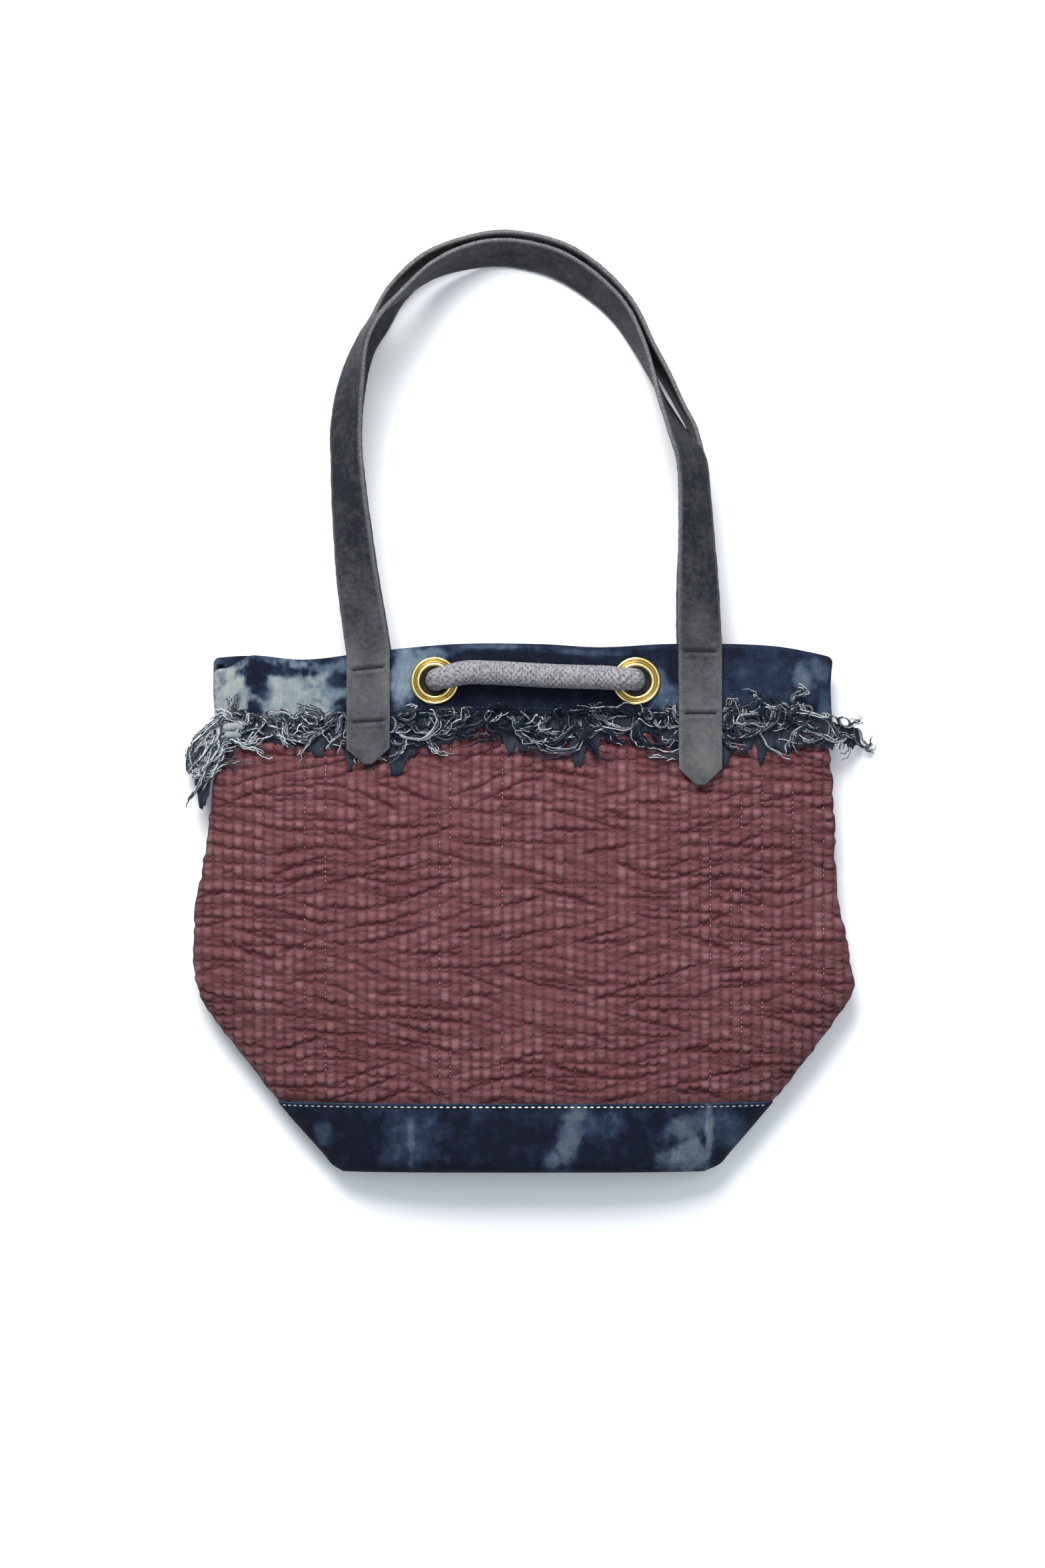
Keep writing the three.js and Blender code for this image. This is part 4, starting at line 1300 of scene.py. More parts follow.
@dataclass
class Eyelets:
    """The two brass eyelets and the rope that runs between them."""

    body: BodyForm
    spacing: float = 120.0
    centre: float = 7.3
    down: float = 21.5
    outer: float = 29.0
    bore: float = 17.0
    barrel: float = 0.7
    seat: float = 3.0
    clamp: float = 5.3
    washer: float = 26.0
    washer_wall: float = 1.1
    roll: float = 2.2
    sides: int = 144
    rope: float = 14.4
    rope_bend: float = 8.6
    rope_rise: float = 4.5
    knot_width: float = 22.0
    knot_depth: float = 11.0

    @property
    def knot(self) -> float:
        """Place of a stop knot's middle on the eyelet's axis, below 0 as it is inside the bag."""
        return -(self.clamp + self.washer_wall + 0.3 + self.knot_depth / 2)

    def frames(self) -> list[tuple[Array, Array]]:
        """Middle of each eyelet on the front wall with the way out of the cloth there.

        Returns:
            Middle and axis of each eyelet.
        """
        made = []
        for end in (-1, 1):
            x, height = self.centre + end * self.spacing / 2, self.body.height - self.down
            middle = self.body.wall(Side.FRONT, x, height, 0.0)
            along = self.body.wall(Side.FRONT, x + 1, height, 0.0) - middle
            up = self.body.wall(Side.FRONT, x, height + 1, 0.0) - middle
            made.append((middle, unit(np.cross(along, up))))
        return made

    def turned(self, index: int, radius: Array, out: Array, sides: int) -> Array:
        """Points of a turned form on an eyelet's axis, a ring for each radius and distance out.

        Args:
            index: Number of the eyelet, 0 for the left one.
            radius: Radius of each ring.
            out: Place of each ring on the axis.
            sides: Points of a ring.

        Returns:
            Points, a row for each ring.
        """
        middle, axis = self.frames()[index]
        across = unit(np.cross(axis, np.array([0.0, 1.0, 0.0])))
        up = np.cross(across, axis)
        angle = math.tau * np.arange(sides) / sides
        wheel = across * np.cos(angle)[:, None] + up * np.sin(angle)[:, None]
        return middle + radius[:, None, None] * wheel[None] + out[:, None, None] * axis

    def build(self, finish: Material) -> None:
        """Makes both eyelets: a rolled rim and an inner bead on the flange, barrel and washer.

        Args:
            finish: The piece's material.
        """
        bore, rim = self.bore / 2, self.outer / 2
        wide = rim - bore
        bend = np.linspace(0, math.pi, 12)
        bead_r = bore + 0.22 * wide - 0.22 * wide * np.cos(bend)
        bead_z = self.seat + 0.35 * self.roll + 0.65 * self.roll * np.sin(bend)
        edge_r = bore + 0.80 * wide - 0.20 * wide * np.cos(bend)
        edge_z = self.seat + 0.20 * self.roll + 0.56 * self.roll * np.sin(bend)
        low = -self.clamp
        radius = np.concatenate([[bore, bore], bead_r, [bore + 0.48 * wide, bore + 0.57 * wide], edge_r,
                                 [rim - 0.3, bore + self.barrel, bore + self.barrel, self.washer / 2 - 0.3,
                                  self.washer / 2, self.washer / 2 - 0.3]])
        below = low - self.washer_wall
        out = np.concatenate([[below, self.seat], bead_z, [self.seat + 0.18 * self.roll] * 2, edge_z,
                              [self.seat, self.seat, low, low, low - 0.5 * self.washer_wall, below]])
        for index, name in enumerate(("left", "right")):
            mesh = Mesh()
            count = len(radius)
            points = self.turned(index, radius, out, self.sides)
            points = np.concatenate([points, points[:1]])
            faces = grid_faces(count + 1, self.sides, around=True)[:, ::-1]
            faces = np.where(faces >= count * self.sides, faces - count * self.sides, faces)
            # Tone rises with a ring's height over the flange: painted reflection, dark in the groove and on
            # the low rings.
            tone = np.clip((out - self.seat - 0.42 * self.roll) / (0.42 * self.roll), 0.0, 1.0)
            mesh.add(points[:-1], faces, tone=np.repeat(tone, self.sides))
            mesh.build(f"brass_eyelet_{name}", finish, (f"eyelet_{name}",), "brass")

    def pierce(self, piece: Piece) -> None:
        """Cuts both barrel holes through a piece.

        Args:
            piece: The piece.
        """
        radius = self.bore / 2 + self.barrel + 0.3
        for index in (0, 1):
            ring = self.turned(index, np.array([radius, radius]), np.array([-12.0, 12.0]), 48)
            mesh = bpy.data.meshes.new("punch")
            faces = grid_faces(2, 48, around=True)[:, ::-1].tolist()
            faces += [list(range(48)), list(range(95, 47, -1))]
            mesh.from_pydata((ring.reshape(-1, 3) * MM).tolist(), [], faces)
            punch = bpy.data.objects.new("punch", mesh)
            bpy.context.scene.collection.objects.link(punch)
            cut = piece.modifiers.new("hole", "BOOLEAN")
            cut.object, cut.operation, cut.solver = punch, "DIFFERENCE", "EXACT"
            apply_modifiers(piece)
            bpy.data.objects.remove(punch)

    def route(self) -> Array:
        """Middle line of the rope: out of one barrel, along the band and into the other.

        Returns:
            Even points of the line.
        """
        (left, left_out), (right, right_out) = self.frames()
        start = self.seat + self.roll + 0.3
        rest = self.seat - 0.2 + self.rope / 2

        def on_band(share: float, rise: float) -> Array:
            """Point over the band between the eyelets."""
            x = mix(left[0], right[0], share)
            point = self.body.wall(Side.FRONT, x, self.body.height - self.down, 0.0).copy()
            point[1] += rise * self.rope_rise
            point[2] += mix(start + self.rope_bend, rest + 0.3, 1 - abs(2 * share - 1) ** 4)
            return point

        bend = start + 0.42 * self.rope_bend
        in_lean, out_lean = np.array([1.0, 0.4, 0.0]), np.array([1.0, -0.4, 0.0])
        marks = [left + left_out * self.knot, left + left_out * self.knot / 2,
                 left + left_out * 0.3 * start + in_lean, left + left_out * bend + 2.2 * in_lean,
                 on_band(0.072, 0.45), on_band(0.15, 0.85), on_band(0.34, 0.75), on_band(0.52, 0.55),
                 on_band(0.7, 0.6), on_band(0.85, 0.6), on_band(0.928, 0.35),
                 right + right_out * bend - 2.2 * out_lean, right + right_out * 0.3 * start - out_lean,
                 right + right_out * self.knot / 2, right + right_out * self.knot]
        return even_line(np.array(marks), 640)

    def build_rope(self, finish: Material) -> None:
        """Makes the knit rope: a tube whose skin is raised in crossing helical loops, and its knots.

        The relief is the larger of two opposite helices of soft ridges, eleven starts each.

        Args:
            finish: The piece's material.
        """
        line = self.route()
        run = run_along(line)
        sides = 72
        angle = math.tau * np.arange(sides)[None, :] / sides
        one = np.cos(11 * angle + math.tau * run[:, None] / 3.4)
        two = np.cos(11 * angle - math.tau * run[:, None] / 3.4)
        knit = np.maximum(one, two)
        fuzz = rough(angle * 6, run[:, None] * 1.2, 19)
        inside = np.minimum(run, run[-1] - run)[:, None] / 24.0
        radius = self.rope / 2 - mix(1.0, 0.2, smooth(inside - 0.55)) + 0.15 * knit + 0.16 * fuzz
        along = unit(np.gradient(line, axis=0))
        across = unit(np.cross(along, np.array([0.02, 1.0, 0.03])))
        over = np.cross(across, along)
        wheel = across[:, None] * np.cos(angle)[..., None] + over[:, None] * np.sin(angle)[..., None]
        points = line[:, None] + radius[..., None] * wheel
        steps = len(line)
        # Tone lighter on the knit's raised loops and darker between them as painted shade, on top of the
        # marl's random tone.
        tone = np.clip(0.50 + 0.22 * knit + 0.9 * rough(angle * 7, run[:, None] * 1.6, 29), 0, 1)
        mesh = Mesh()
        mesh.add(points, grid_faces(steps, sides, around=True)[:, ::-1], tone=tone.ravel())
        mesh.faces.append(list(range(sides)))
        mesh.faces.append(list(range(steps * sides - 1, (steps - 1) * sides - 1, -1)))
        bend = np.linspace(0.02, math.pi - 0.02, 22)
        for index in (0, 1):
            wide = self.knot_width / 2 * np.sin(bend) ** 0.6
            out = self.knot + self.knot_depth / 2 * np.cos(bend)
            ring = self.turned(index, wide, out, 48)
            turn = math.tau * np.arange(48)[None, :] / 48
            wave = 1 + 0.05 * np.cos(6 * turn + 5 * bend[:, None])
            centre = ring.mean(axis=1, keepdims=True)
            ring = centre + (ring - centre) * wave[..., None]
            first = mesh.add(ring, grid_faces(22, 48, around=True), tone=0.5)
            mesh.faces.append(list(range(first, first + 48))[::-1])
            mesh.faces.append(list(range(first + 21 * 48, first + 22 * 48)))
        mesh.build("knit_rope", finish, ("rope",), "rope")


def apply_modifiers(piece: Piece) -> None:
    """Replaces a piece's mesh by its mesh with the modifiers applied.

    Args:
        piece: The piece.
    """
    bpy.context.view_layer.update()
    shown = piece.evaluated_get(bpy.context.evaluated_depsgraph_get())
    mesh = bpy.data.meshes.new_from_object(shown)
    piece.modifiers.clear()
    piece.data = mesh


@dataclass
class Locks:
    """The locks of a frayed edge, one a row: roots, reaches and the stations of their lines."""

    start: Array
    reach: Array
    x: Array
    up: Array
    out: Array


@dataclass
class FrayedEdge:
    """The frayed lower edge of one band: a thin backing and many loose curly yarns."""

    body: BodyForm
    side: Side
    rows: Array
    tones: Array
    raised: Array
    locks: int
    strands: int
    backing_columns: int
    length: float = 36.0
    low: float = 273.0
    shoulder: float = 6.0
    fold_slope: float = 0.35
    droop_slope: float = 0.8
    right_fall: float = 0.25
    seat: float = 0.6
    steps: int = 19
    radius: float = 0.43
    eyelets: tuple[float, float] = (-52.7, 67.3)
    tabs: tuple[float, float] = (-92.4, 105.6)
    tab_half: float = 14.5
    lean: float = 0.25
    dark_yarns: float = 0.62

    @property
    def ends(self) -> tuple[float, float]:
        """Places across of the edge's left and right end."""
        return self.rows[0, 0] * self.body.width / 2, self.rows[-1, 0] * self.body.width / 2

    @property
    def share(self) -> Array:
        """Shares of a yarn's length at its stations."""
        return np.linspace(0.0, 1.0, self.steps)[None, :]

    def read(self, table: Array, x: Array) -> Array:
        """Table read at places across in millimetres."""
        return read_rows(table, 2 * x / self.body.width)

    def place(self, x: Array, height: Array, offset: Array) -> Array:
        """Points that lie on the wall and droop past the side of the front.

        Past the shoulder the surface falls by 0.35 of the distance, and past the seam by 0.8.

        Args:
            x: Places across.
            height: Heights above the base.
            offset: Growth outwards.

        Returns:
            Points, X, Y and Z last.
        """
        sec = self.body.section(height, np.zeros_like(x))
        inset = self.shoulder if self.side is Side.FRONT else 0.0
        edge = np.minimum(sec["right"] - inset, np.maximum(sec["left"] + inset, x))
        point = self.body.wall(self.side, edge, height, offset)
        past = np.abs(x - edge)
        point[..., 0] = x
        point[..., 2] -= self.fold_slope * np.minimum(past, inset)
        point[..., 2] -= self.droop_slope * np.maximum(0.0, past - inset)
        return point

    def top(self, x: Array) -> Array:
        """Height at which the yarns leave the band, lower past its ends, on the right by less.

        Args:
            x: Places across.

        Returns:
            Heights above the base.
        """
        sec = self.body.section(np.full_like(x, self.low), np.zeros_like(x))
        left = sec["left"] + self.shoulder / 2 - x
        right = self.right_fall * (x - sec["right"] + self.shoulder / 2)
        return self.low - 0.3 - np.maximum(0.0, np.maximum(left, right))

    def reach(self, x: Array) -> Array:
        """Length of the yarns at each place across."""
        return self.read(self.rows, x) * self.length

    def headings(self, rng: np.random.Generator, start: Array, raised: Array, run: Array) -> Array:
        """Headings of the locks along their lines.

        A heading bends steadily and sways to and fro; raised locks first stand up and turn over.

        Args:
            rng: Source of the random draws.
            start: Places across of the roots.
            raised: Which locks stand up.
            run: Length along each line at its stations.

        Returns:
            Angles from the way across, a row for each lock.
        """
        n = self.locks
        way = rng.choice([-1.0, 1.0], n)
        rising, hanging = math.pi / 2 + rng.normal(0.0, 0.55, n), -math.pi / 2 + rng.normal(0.0, 0.50, n)
        heading = np.where(raised, rising, hanging)
        heading = heading - self.lean * smooth((self.ends[0] + 20.0 - start) / 14.0) * (1.0 - raised)
        over = rng.uniform(11.0, 24.0, n)[:, None]
        turned = np.where(raised, way * rng.uniform(2.8, 4.2, n), 0.0)[:, None] * smooth(run / over)
        bend = (rng.choice([-1.0, 1.0], n) * rng.uniform(0.02, 0.13, n))[:, None] * run
        sway = rng.uniform(0.15, 0.65, n)[:, None]
        phase = math.tau * run / rng.uniform(11.0, 22.0, n)[:, None] + rng.uniform(0, math.tau, n)[:, None]
        return heading[:, None] + turned + bend + sway * np.sin(phase)

    def grow_locks(self, rng: np.random.Generator) -> Locks:
        """Lines of the locks, which leave the band at a slant and sweep and curl.

        Roots stand closer where the yarns are long and at the left end. A line is the sum of
        short steps along its headings. No line hangs below its reach, and few rise over the
        band, least of all beside the eyelets.

        Args:
            rng: Source of the random draws.

        Returns:
            The locks.
        """
        n, (left, right) = self.locks, self.ends
        even = (np.arange(n) + rng.uniform(0.1, 0.9, n)) / n
        places = np.linspace(left + 0.5, right - 0.5, 400)
        crowd = np.cumsum(0.3 + self.reach(places) / self.length + 1.6 * smooth((left + 26.0 - places) / 8.0))
        start = np.interp(even, crowd / crowd[-1], places)
        reach = (self.reach(start) + 1.5) * rng.uniform(0.80, 1.10, n)
        often = self.read(self.raised, start)
        raised = rng.uniform(size=n) < often
        length = (1.15 * reach + 11.0) * rng.uniform(0.75, 1.2, n)
        run = self.share * length[:, None]
        angle = self.headings(rng, start, raised, run)[:, :-1]
        step = (length / (self.steps - 1))[:, None]
        zero = np.zeros((n, 1))
        x = start[:, None] + np.concatenate([zero, np.cumsum(np.cos(angle) * step, axis=1)], axis=1)
        up = np.concatenate([zero, np.cumsum(np.sin(angle) * step, axis=1)], axis=1)
        up = np.where(raised[:, None] | (up <= 0), up, 0.25 * up)
        eyelet_gap = np.min([np.abs(start - eyelet) for eyelet in self.eyelets], axis=0)
        cap = mix(6.0, 23.0, smooth((often - 0.30) / 0.40))
        cap = np.where(eyelet_gap < 24, np.minimum(cap, 4.5), cap)[:, None]
        up = np.where(up > 0, cap * np.tanh(up / cap), up)
        limit = 1.12 * reach[:, None]
        up = np.where(up < 0, -limit * np.tanh(-up / limit), up)
        stand = (1.6 + 2.4 * self.bushy(start) + np.where(raised, 2.4, 0.0)) * rng.uniform(0.3, 1.2, n)
        curl = 1.3 * (0.5 + 0.5 * np.sin(math.tau * run / 11.0 + 9.0 * even[:, None]))
        out = self.seat + 0.6 + stand[:, None] * smooth(self.share * 3.0) * (1 - 0.3 * self.share) + curl
        return Locks(start, reach, x, up, out)

    def grow_yarns(self, rng: np.random.Generator, locks: Locks, which: Array) -> Array:
        """Lines of the yarns.

        A yarn follows its lock a little to the side, spreads at the tip and carries a finer
        curl. It lies flat under the handles' tabs and is drawn in at both ends of the edge.

        Args:
            rng: Source of the random draws.
            locks: The locks.
            which: Number of each yarn's lock.

        Returns:
            Points, a row for each yarn.
        """
        m, share, (left, right) = self.strands, self.share, self.ends
        side_step, up_step = rng.normal(0, 1.15, m)[:, None], rng.normal(0, 0.9, m)[:, None]
        splay = 0.6 + 1.5 * share**2
        fine = rng.uniform(0.1, 0.75, m)[:, None] * share
        turns = (math.tau * locks.reach[which] / rng.uniform(3.0, 6.0, m))[:, None]
        wind = turns * share + rng.uniform(0, math.tau, m)[:, None]
        at = share * rng.uniform(0.66, 1.0, m)[:, None] * (self.steps - 1)
        i = np.minimum(np.floor(at).astype(int), self.steps - 2)
        row = which[:, None]

        def follow(line: Array) -> Array:
            """Lock's line read at each yarn's own places."""
            return mix(line[row, i], line[row, i + 1], at - i)

        x = follow(locks.x) + side_step * splay + fine * np.cos(wind)
        up = follow(locks.up) + up_step * splay * share + fine * np.sin(wind)
        out = follow(locks.out) + rng.uniform(0, 1.3, m)[:, None] * splay * smooth(share * 4)
        out = np.maximum(out, self.seat + 0.5)
        if self.side is Side.FRONT:
            out = out + 1.6 * smooth(up / 2.0)
        under_tab = np.min([np.abs(x - tab) for tab in self.tabs], axis=0) < self.tab_half
        out = np.where(under_tab, np.minimum(out, 2.3), out)
        up = np.where(under_tab, np.minimum(up, 0.2), up)
        x = np.where(x < left, left + 0.25 * (x - left), np.where(x > right, right + 0.45 * (x - right), x))
        if self.side is Side.BACK:
            out, up = np.minimum(out, 2.0), np.minimum(up, 0.0)
        line = self.place(x, self.top(x) + 1.2 + up, out)
        line[..., 2] = np.maximum(line[..., 2], self.radius + 0.1)
        return line

    def tone_yarns(self, rng: np.random.Generator, start: Array, which: Array) -> Array:
        """Tones of the yarns at their stations: salt and pepper round their lock's own tone, darker at the
        roots, with painted glints along each yarn.

        Args:
            rng: Source of the random draws.
            start: Places across of the locks' roots.
            which: Number of each yarn's lock.

        Returns:
            Tones from 0 to 1, a row for each yarn.
        """
        m = self.strands
        mean = self.read(self.tones, start) + rng.normal(0, 0.20, self.locks)
        tone = 1.25 * mean[which] + rng.normal(0, 0.16, m)
        tone = np.where(rng.uniform(size=m) < self.dark_yarns, tone * 0.08, 1.35 * tone)
        tone = np.where(rng.uniform(size=m) < 0.06, 1.3, tone)
        # Painted glints: short lighter stretches along each yarn where it would catch the light. The yarns
        # also get darker towards their roots.
        painted_glints = 1.0 + 0.75 * noise(self.share * 8.0, np.arange(m)[:, None] * 3.3, 57)
        return np.clip(tone[:, None] * ((0.35 + 0.65 * self.share) * painted_glints), 0, 1)

    def build(self, finish: Material) -> None:
        """Makes the yarns, which stand in locks, and their backing.

        Args:
            finish: The cotton of the yarns.
        """
        rng = np.random.default_rng(71 if self.side is Side.FRONT else 73)
        locks = self.grow_locks(rng)
        which = np.sort(rng.integers(0, self.locks, self.strands))
        line = self.grow_yarns(rng, locks, which)
        thick = self.radius * rng.uniform(0.7, 1.4, self.strands)[:, None] * (1 - 0.3 * self.share)
        points, faces = tubes(line, thick, 3)
        mesh = Mesh()
        mesh.add(points, faces, tone=np.repeat(self.tone_yarns(rng, locks.start, which).ravel(), 3))
        self.add_backing(mesh)
        label = self.side.label
        mesh.build(f"frayed_yarns_{label}", finish, (f"frayed_edge_{label}",), "frayed_denim")

    def bushy(self, x: Array) -> Array:
        """How far the yarns stand out: most at the longer locks."""
        return np.clip(self.reach(x) / self.length - 0.35, 0.0, 1.0)

    def add_backing(self, mesh: Mesh) -> None:
        """Adds the close short yarns under the loose ones as one ragged strip.

        Args:
            mesh: Mesh to add to.
        """
        (left, right), n = self.ends, self.backing_columns
        column, x = np.arange(n)[:, None], np.linspace(left + 1, right - 1, n)[:, None]
        share = np.linspace(0, 1, 7)[None, :]
        ragged = 0.62 + 0.16 * lattice(column, column * 0, 9) + 0.34 * noise(x / 4.3, x * 0, 13)
        height = self.top(x) + 0.8 - share * self.reach(x) * ragged
        comb = 0.35 * lattice(column, column * 0, 19)
        over = self.place(x + 0 * share, height, self.seat + 0.5 + comb + 0 * share)
        under = self.place(x + 0 * share, height, self.seat + 0 * share)[:, ::-1]
        ring = np.concatenate([over, under], axis=1)
        ring[..., 2] = np.maximum(ring[..., 2], 0.1)
        count = ring.shape[1]
        tone = 0.01 + 0.03 * lattice(column, column * 0, 29) + 0 * np.arange(count)
        first = mesh.add(ring, self.side.turn(grid_faces(n, count, around=True)), tone=tone.ravel())
        start = list(range(first, first + count))
        end = list(range(first + (n - 1) * count, first + n * count))
        mesh.faces.extend([start, end[::-1]] if self.side is Side.BACK else [start[::-1], end])


def curve_at(marks: Array, at: Array) -> Array:
    """Places on the centripetal smooth curve through some marks.

    Each stretch is a cubic worked out by repeated blending of four neighbouring marks, whose
    spacing is the root of their distance; past the ends a mark is mirrored.

    Args:
        marks: Points that the curve passes.
        at: Places along it, counted in marks.

    Returns:
        Points of the curve.
    """
    steps = np.linalg.norm(np.diff(marks, axis=0), axis=1) ** 0.5
    full = np.vstack([2 * marks[0] - marks[1], marks, 2 * marks[-1] - marks[-2]])
    knots = np.concatenate([[0], np.cumsum(np.concatenate([steps[:1], steps, steps[-1:]]))])
    i = np.clip(np.floor(at).astype(int), 0, len(marks) - 2)
    p, s = [full[i + k] for k in range(4)], [knots[i + k][:, None] for k in range(4)]
    t = s[1] + (at - i)[:, None] * (s[2] - s[1])
    a = [((s[k + 1] - t) * p[k] + (t - s[k]) * p[k + 1]) / (s[k + 1] - s[k]) for k in range(3)]
    b = [((s[k + 2] - t) * a[k] + (t - s[k]) * a[k + 1]) / (s[k + 2] - s[k]) for k in range(2)]
    return ((s[2] - t) * b[0] + (t - s[1]) * b[1]) / (s[2] - s[1])


def even_line(marks: Array, count: int) -> Array:
    """Even points along the centripetal smooth curve through some marks.

    Args:
        marks: Points that the curve passes.
        count: Number of points.

    Returns:
        The points.
    """
    line = curve_at(marks, np.linspace(0, len(marks) - 1, count * 4))
    run = run_along(line)
    even = np.linspace(0, run[-1], count)
    return np.stack([np.interp(even, run, line[:, k]) for k in range(3)], axis=-1)


@dataclass
class Handle:
    """One leather handle: a tab sewn to the band at each end of a strap laid on its route."""

    body: BodyForm
    side: Side
    route: Array
    tab_lengths: tuple[float, float]
    stitch_ups: tuple[tuple[float, float], tuple[float, float]]
    width: float = 26.0
    wall: float = 3.0
    spacing: float = 198.0
    centre: float = 6.6
    drop: float = 237.0
    point: float = 10.0
    tip: float = 5.0
    seat: float = 3.0
    fold: float = 1.5
    table: float = 0.4
    per_mark: int = 18
    across_points: int = 13

    def tab(self, end: int) -> dict[str, Array]:
        """Stations of one tab, from its point up to the mouth.

        Args:
            end: 0 for the left tab and 1 for the right one.

        Returns:
            Middle, way across, way out, width and height at each station.
        """
        x = self.centre + (-1, 1)[end] * self.spacing / 2
        top = self.body.height - self.fold
        tip = top - self.tab_lengths[end]
        pointed = np.linspace(tip, tip + self.point, 9)[:-1]
        height = np.concatenate([pointed, np.arange(tip + self.point, top, 0.8), [top]])
        offset = self.seat + self.wall / 2
        middle = self.body.wall(self.side, x, height, offset)
        along = unit(self.body.wall(self.side, x, height + 1, offset) - middle)
        across = unit(self.body.wall(self.side, x + 1, height, offset) - middle)
        out = unit(np.cross(across, along) * self.side.value)
        width = mix(self.tip, self.width, np.minimum(1.0, (height - tip) / self.point))
        return {"middle": middle, "across": across, "out": out, "width": width, "height": height}

    def strap(self, tabs: list[dict[str, Array]]) -> dict[str, Array]:
        """Stations of the strap: places on a smooth curve through the route's marks.

        The way across is level and square to the route, turned about it by the roll.

        Args:
            tabs: Stations of both tabs.

        Returns:
            Middle, way across, way out and width at each station.
        """
        roll = np.radians(self.route[:, 2])
        rise = self.route[:, 3] * self.width if self.route.shape[1] > 3 else 0.0
        rest = self.table + np.abs(np.sin(roll)) * self.width / 2 + np.abs(np.cos(roll)) * self.wall / 2
        up = self.body.height + self.route[:, 1] * self.drop - self.body.rest_height
        marks = np.stack([self.centre + self.route[:, 0] * self.spacing / 2, up, rest + rise], axis=-1)
        flat = 0.0 if self.side is Side.FRONT else math.pi
        leans = [math.asin(tab["across"][-1, 2]) * sign for tab, sign in zip(tabs, (1, -1))]
        marks = np.vstack([tabs[0]["middle"][-1], marks, tabs[1]["middle"][-1]])
        rolls = np.concatenate([[flat + leans[0]], roll, [flat + leans[1]]])
        last = len(marks) - 1
        at = np.linspace(0, last, last * self.per_mark + 1)[1:-1]
        middle = curve_at(marks, at)
        along = unit(curve_at(marks, np.minimum(at + 0.02, last)) - curve_at(marks, np.maximum(at - 0.02, 0)))
        turn = read_rows(np.stack([np.arange(last + 1.0), rolls], axis=-1), at)[:, None]
        inward = unit(np.stack([along[:, 1], -along[:, 0], np.zeros(len(at))], axis=-1))
        up = unit(np.cross(inward, along))
        across = inward * np.cos(turn) + up * np.sin(turn)
        return {"middle": middle, "across": across, "out": unit(np.cross(across, along)),
                "width": np.full(len(at), self.width)}

    def outline(self) -> tuple[Array, Array]:
        """Closed section of the leather: shares of half the width and of half the thickness.

        Returns:
            Both shares, a column for each point.
        """
        flat = np.linspace(-1, 1, self.across_points)
        over = np.concatenate([[(-1.0, -0.35), (-1.0, 0.35)], np.stack([flat, np.ones_like(flat)], -1),
                               [(1.0, 0.35), (1.0, -0.35)], np.stack([-flat, -np.ones_like(flat)], -1)])
        return over[:, 0][None, :], over[:, 1][None, :]

    def build(self, finish: Material, thread: Material) -> None:
        """Makes the handle: one rounded section carried from the left tab's point to the right.

        The faces carry a slow wrinkle and pinch at the sewn rows; the cut edges are rough.

        Args:
            finish: The leather.
            thread: The black thread.
        """
        tabs = [self.tab(0), self.tab(1)]
        sign = self.side.value
        order = [(tabs[0], sign, False), (self.strap(tabs), 1, False), (tabs[1], -sign, True)]

        def joined(key: str, turned: bool = False) -> Array:
            """One value of all stations, in order."""
            parts = []
            for part, way, backwards in order:
                value = part[key] * (way if turned else 1)
                parts.append(value[::-1] if backwards else value)
            return np.concatenate(parts)

        middle, out, across = joined("middle"), joined("out"), joined("across", turned=True)
        along = run_along(middle)
        run = along[:, None]
        u, v = self.outline()
        rim, top = np.abs(u) > 0.9, v > 0.9
        seed = 301 if self.side is Side.FRONT else 307
        half = joined("width")[:, None] / 2 - 0.18 * (np.abs(v) > 0.9) * (np.abs(u) > 0.95)
        place = u * (half + 0.32 * rough(run / 2.2, u * 3 + v, seed) * rim)
        wrinkle = 0.32 * rough(run / 16, place / 7, seed + 9) + 0.12 * rough(run / 4, place / 3, seed + 13)
        inside = smooth((0.80 - np.abs(u)) / 0.06)
        groove, ridge = (value[:, None] * inside for value in self.grooves(along, tabs))
        thick = self.wall / 2 - 0.35 * np.abs(u) ** 6
        depth = v * thick + np.where(top, wrinkle - 0.8 * groove + 0.45 * ridge, 0.0)
        points = middle[:, None] + across[:, None] * place[..., None] + out[:, None] * depth[..., None]
        points[..., 2] = np.maximum(points[..., 2], 0.05)
        # Share of rubbing and painted sheen: most on the tabs and at the strap's top, more at the cut edges.
        rub = (0.85 + 0.42 * rough(run / 24, place / 12, seed + 21)) * self.wear_and_sheen(along)[:, None] + 0.15 * rim
        edge = np.where(np.abs(v) < 0.9, 1.0, np.where(rim, 0.55, 0.0)) + 0 * run
        rows, count = points.shape[:2]
        mesh = Mesh()
        # The groove share is painted shade in the sunk stitch rows.
        mesh.add(points, grid_faces(rows, count, around=True), rub=np.clip(rub, 0, 1).ravel(),
                 edge=edge.ravel(), groove=np.where(top, groove, 0.0).ravel())
        mesh.faces.extend([list(range(count))[::-1], list(range((rows - 1) * count, rows * count))])
        label = self.side.label
        mesh.build(f"leather_handle_{label}", finish, (f"handle_{label}",), "leather")
        self.sew(thread, tabs)

    def grooves(self, run: Array, tabs: list[dict[str, Array]]) -> tuple[Array, Array]:
        """Shares of sunk seam and of raised ridge at each station.

        Args:
            run: Length along the handle at its stations.
            tabs: Stations of both tabs.

        Returns:
            Two shares for each station.
        """
        groove, ridge = np.zeros_like(run), np.zeros_like(run)
        left, right = tabs[0]["height"], tabs[1]["height"][::-1]
        spans = [(slice(0, len(left)), left), (slice(len(run) - len(right), None), right)]
        for (where, height), ups in zip(spans, self.stitch_ups):
            for up in ups:
                groove[where] = np.maximum(groove[where], bell(height - up, 0.9))
                ridge[where] = np.maximum(ridge[where], bell(height - up + 3.2, 1.1))
                ridge[where] = np.maximum(ridge[where], 0.6 * bell(height - up - 2.6, 0.9))
        return groove, ridge

